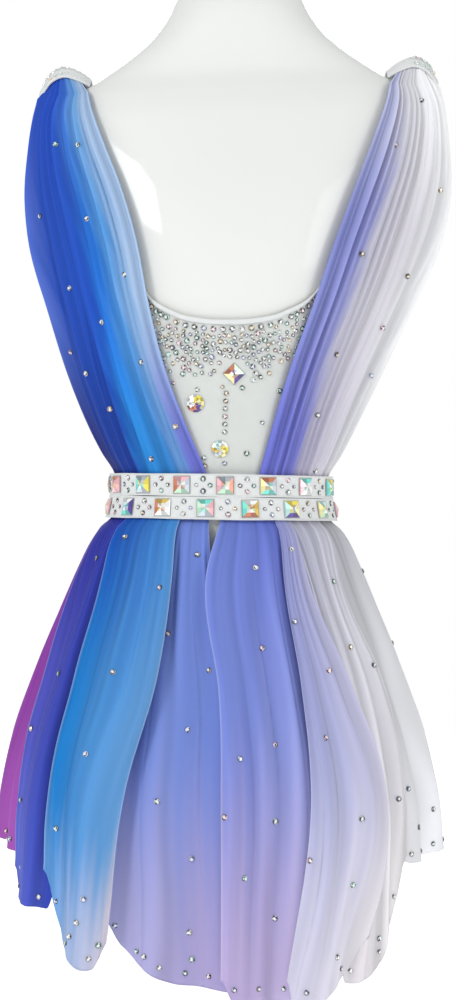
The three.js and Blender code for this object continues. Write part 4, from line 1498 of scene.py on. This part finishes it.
for sheet_name, pixels in SCATTER.items():
    scatter_back(sheet_name, pixels)
for number in range(1, 6):
    scatter_front("petal_front_%d" % number, 7, PETAL_SINGLES)
for hand in ("left", "right"):
    scatter_front("drape_front_" + hand, 0, DRAPE_SINGLES)


# Light and camera
LIGHTS = table(
    "name place target size power",
    ("key", (-1.9, -1.7, 1.9), (0, 0, 0.6), (0.8, 0.8), 25),
    ("fill", (1.9, -1.5, 1.2), (0, 0, 0.55), (1.0, 1.4), 14),
    ("front", (0, 2.4, 1.6), (0, 0, 0.55), (1.4, 1.4), 22),
)
FLOOR_RADIUS, FLOOR_DROP, FLOOR_GLOW = 2.2, 0.0005, 0.35


def area_light(name, place, target, size, power):
    light = bpy.data.lights.new(name, "AREA")
    light.shape = "RECTANGLE"
    light.size, light.size_y = size
    light.energy = power
    obj = bpy.data.objects.new(name, light)
    obj.location = place
    obj.rotation_euler = (Vector(target) - Vector(place)).to_track_quat("-Z", "Y").to_euler()
    bpy.context.scene.collection.objects.link(obj)


def make_light():
    """White behind, a softer surround for the light itself, and lamps to the left, right and front."""
    world = bpy.data.worlds.new("white_studio")
    world.use_nodes = True
    tree = world.node_tree
    backdrop = tree.nodes["Background"]
    backdrop.inputs["Color"].default_value = (1, 1, 1, 1)
    surround = tree.nodes.new("ShaderNodeBackground")
    surround.inputs["Color"].default_value = (0.97, 0.985, 1, 1)
    surround.inputs["Strength"].default_value = AMBIENT
    rays = tree.nodes.new("ShaderNodeLightPath")
    choose = tree.nodes.new("ShaderNodeMixShader")
    tree.links.new(rays.outputs["Is Camera Ray"], choose.inputs[0])
    tree.links.new(surround.outputs["Background"], choose.inputs[1])
    tree.links.new(backdrop.outputs["Background"], choose.inputs[2])
    tree.links.new(choose.outputs["Shader"], tree.nodes["World Output"].inputs["Surface"])
    bpy.context.scene.world = world
    for row in LIGHTS:
        area_light(**row)
    bpy.context.scene.view_settings.view_transform = "Standard"


def floor_material():
    material, tree, shader = node_material("pale_floor")
    mottle(tree, shader, object_noise(tree, 3.0, 2.0), np.full(3, 0.93), np.full(3, 0.96))
    set_values(shader, Roughness=0.9, Emission_Color=(1, 1, 1, 1), Emission_Strength=FLOOR_GLOW)
    return material


def make_floor():
    a = np.linspace(0, 2 * math.pi, 97)[:-1]
    ring = stack(FLOOR_RADIUS * np.cos(a), FLOOR_RADIUS * np.sin(a), -FLOOR_DROP)
    mesh = bpy.data.meshes.new("floor")
    mesh.from_pydata(ring.tolist(), [], [list(range(len(ring)))])
    mesh.materials.append(floor_material())
    floor = bpy.data.objects.new("floor", mesh)
    bpy.context.scene.collection.objects.link(floor)


def make_camera():
    camera = bpy.data.cameras.new("camera")
    camera.sensor_width = SENSOR
    camera.lens = SENSOR * -CAMERA[1] / VIEW_HEIGHT
    obj = bpy.data.objects.new("camera", camera)
    obj.location = CAMERA
    obj.rotation_euler = (math.radians(90), 0, 0)
    bpy.context.scene.collection.objects.link(obj)
    bpy.context.scene.camera = obj


make_light()
make_floor()
make_camera()
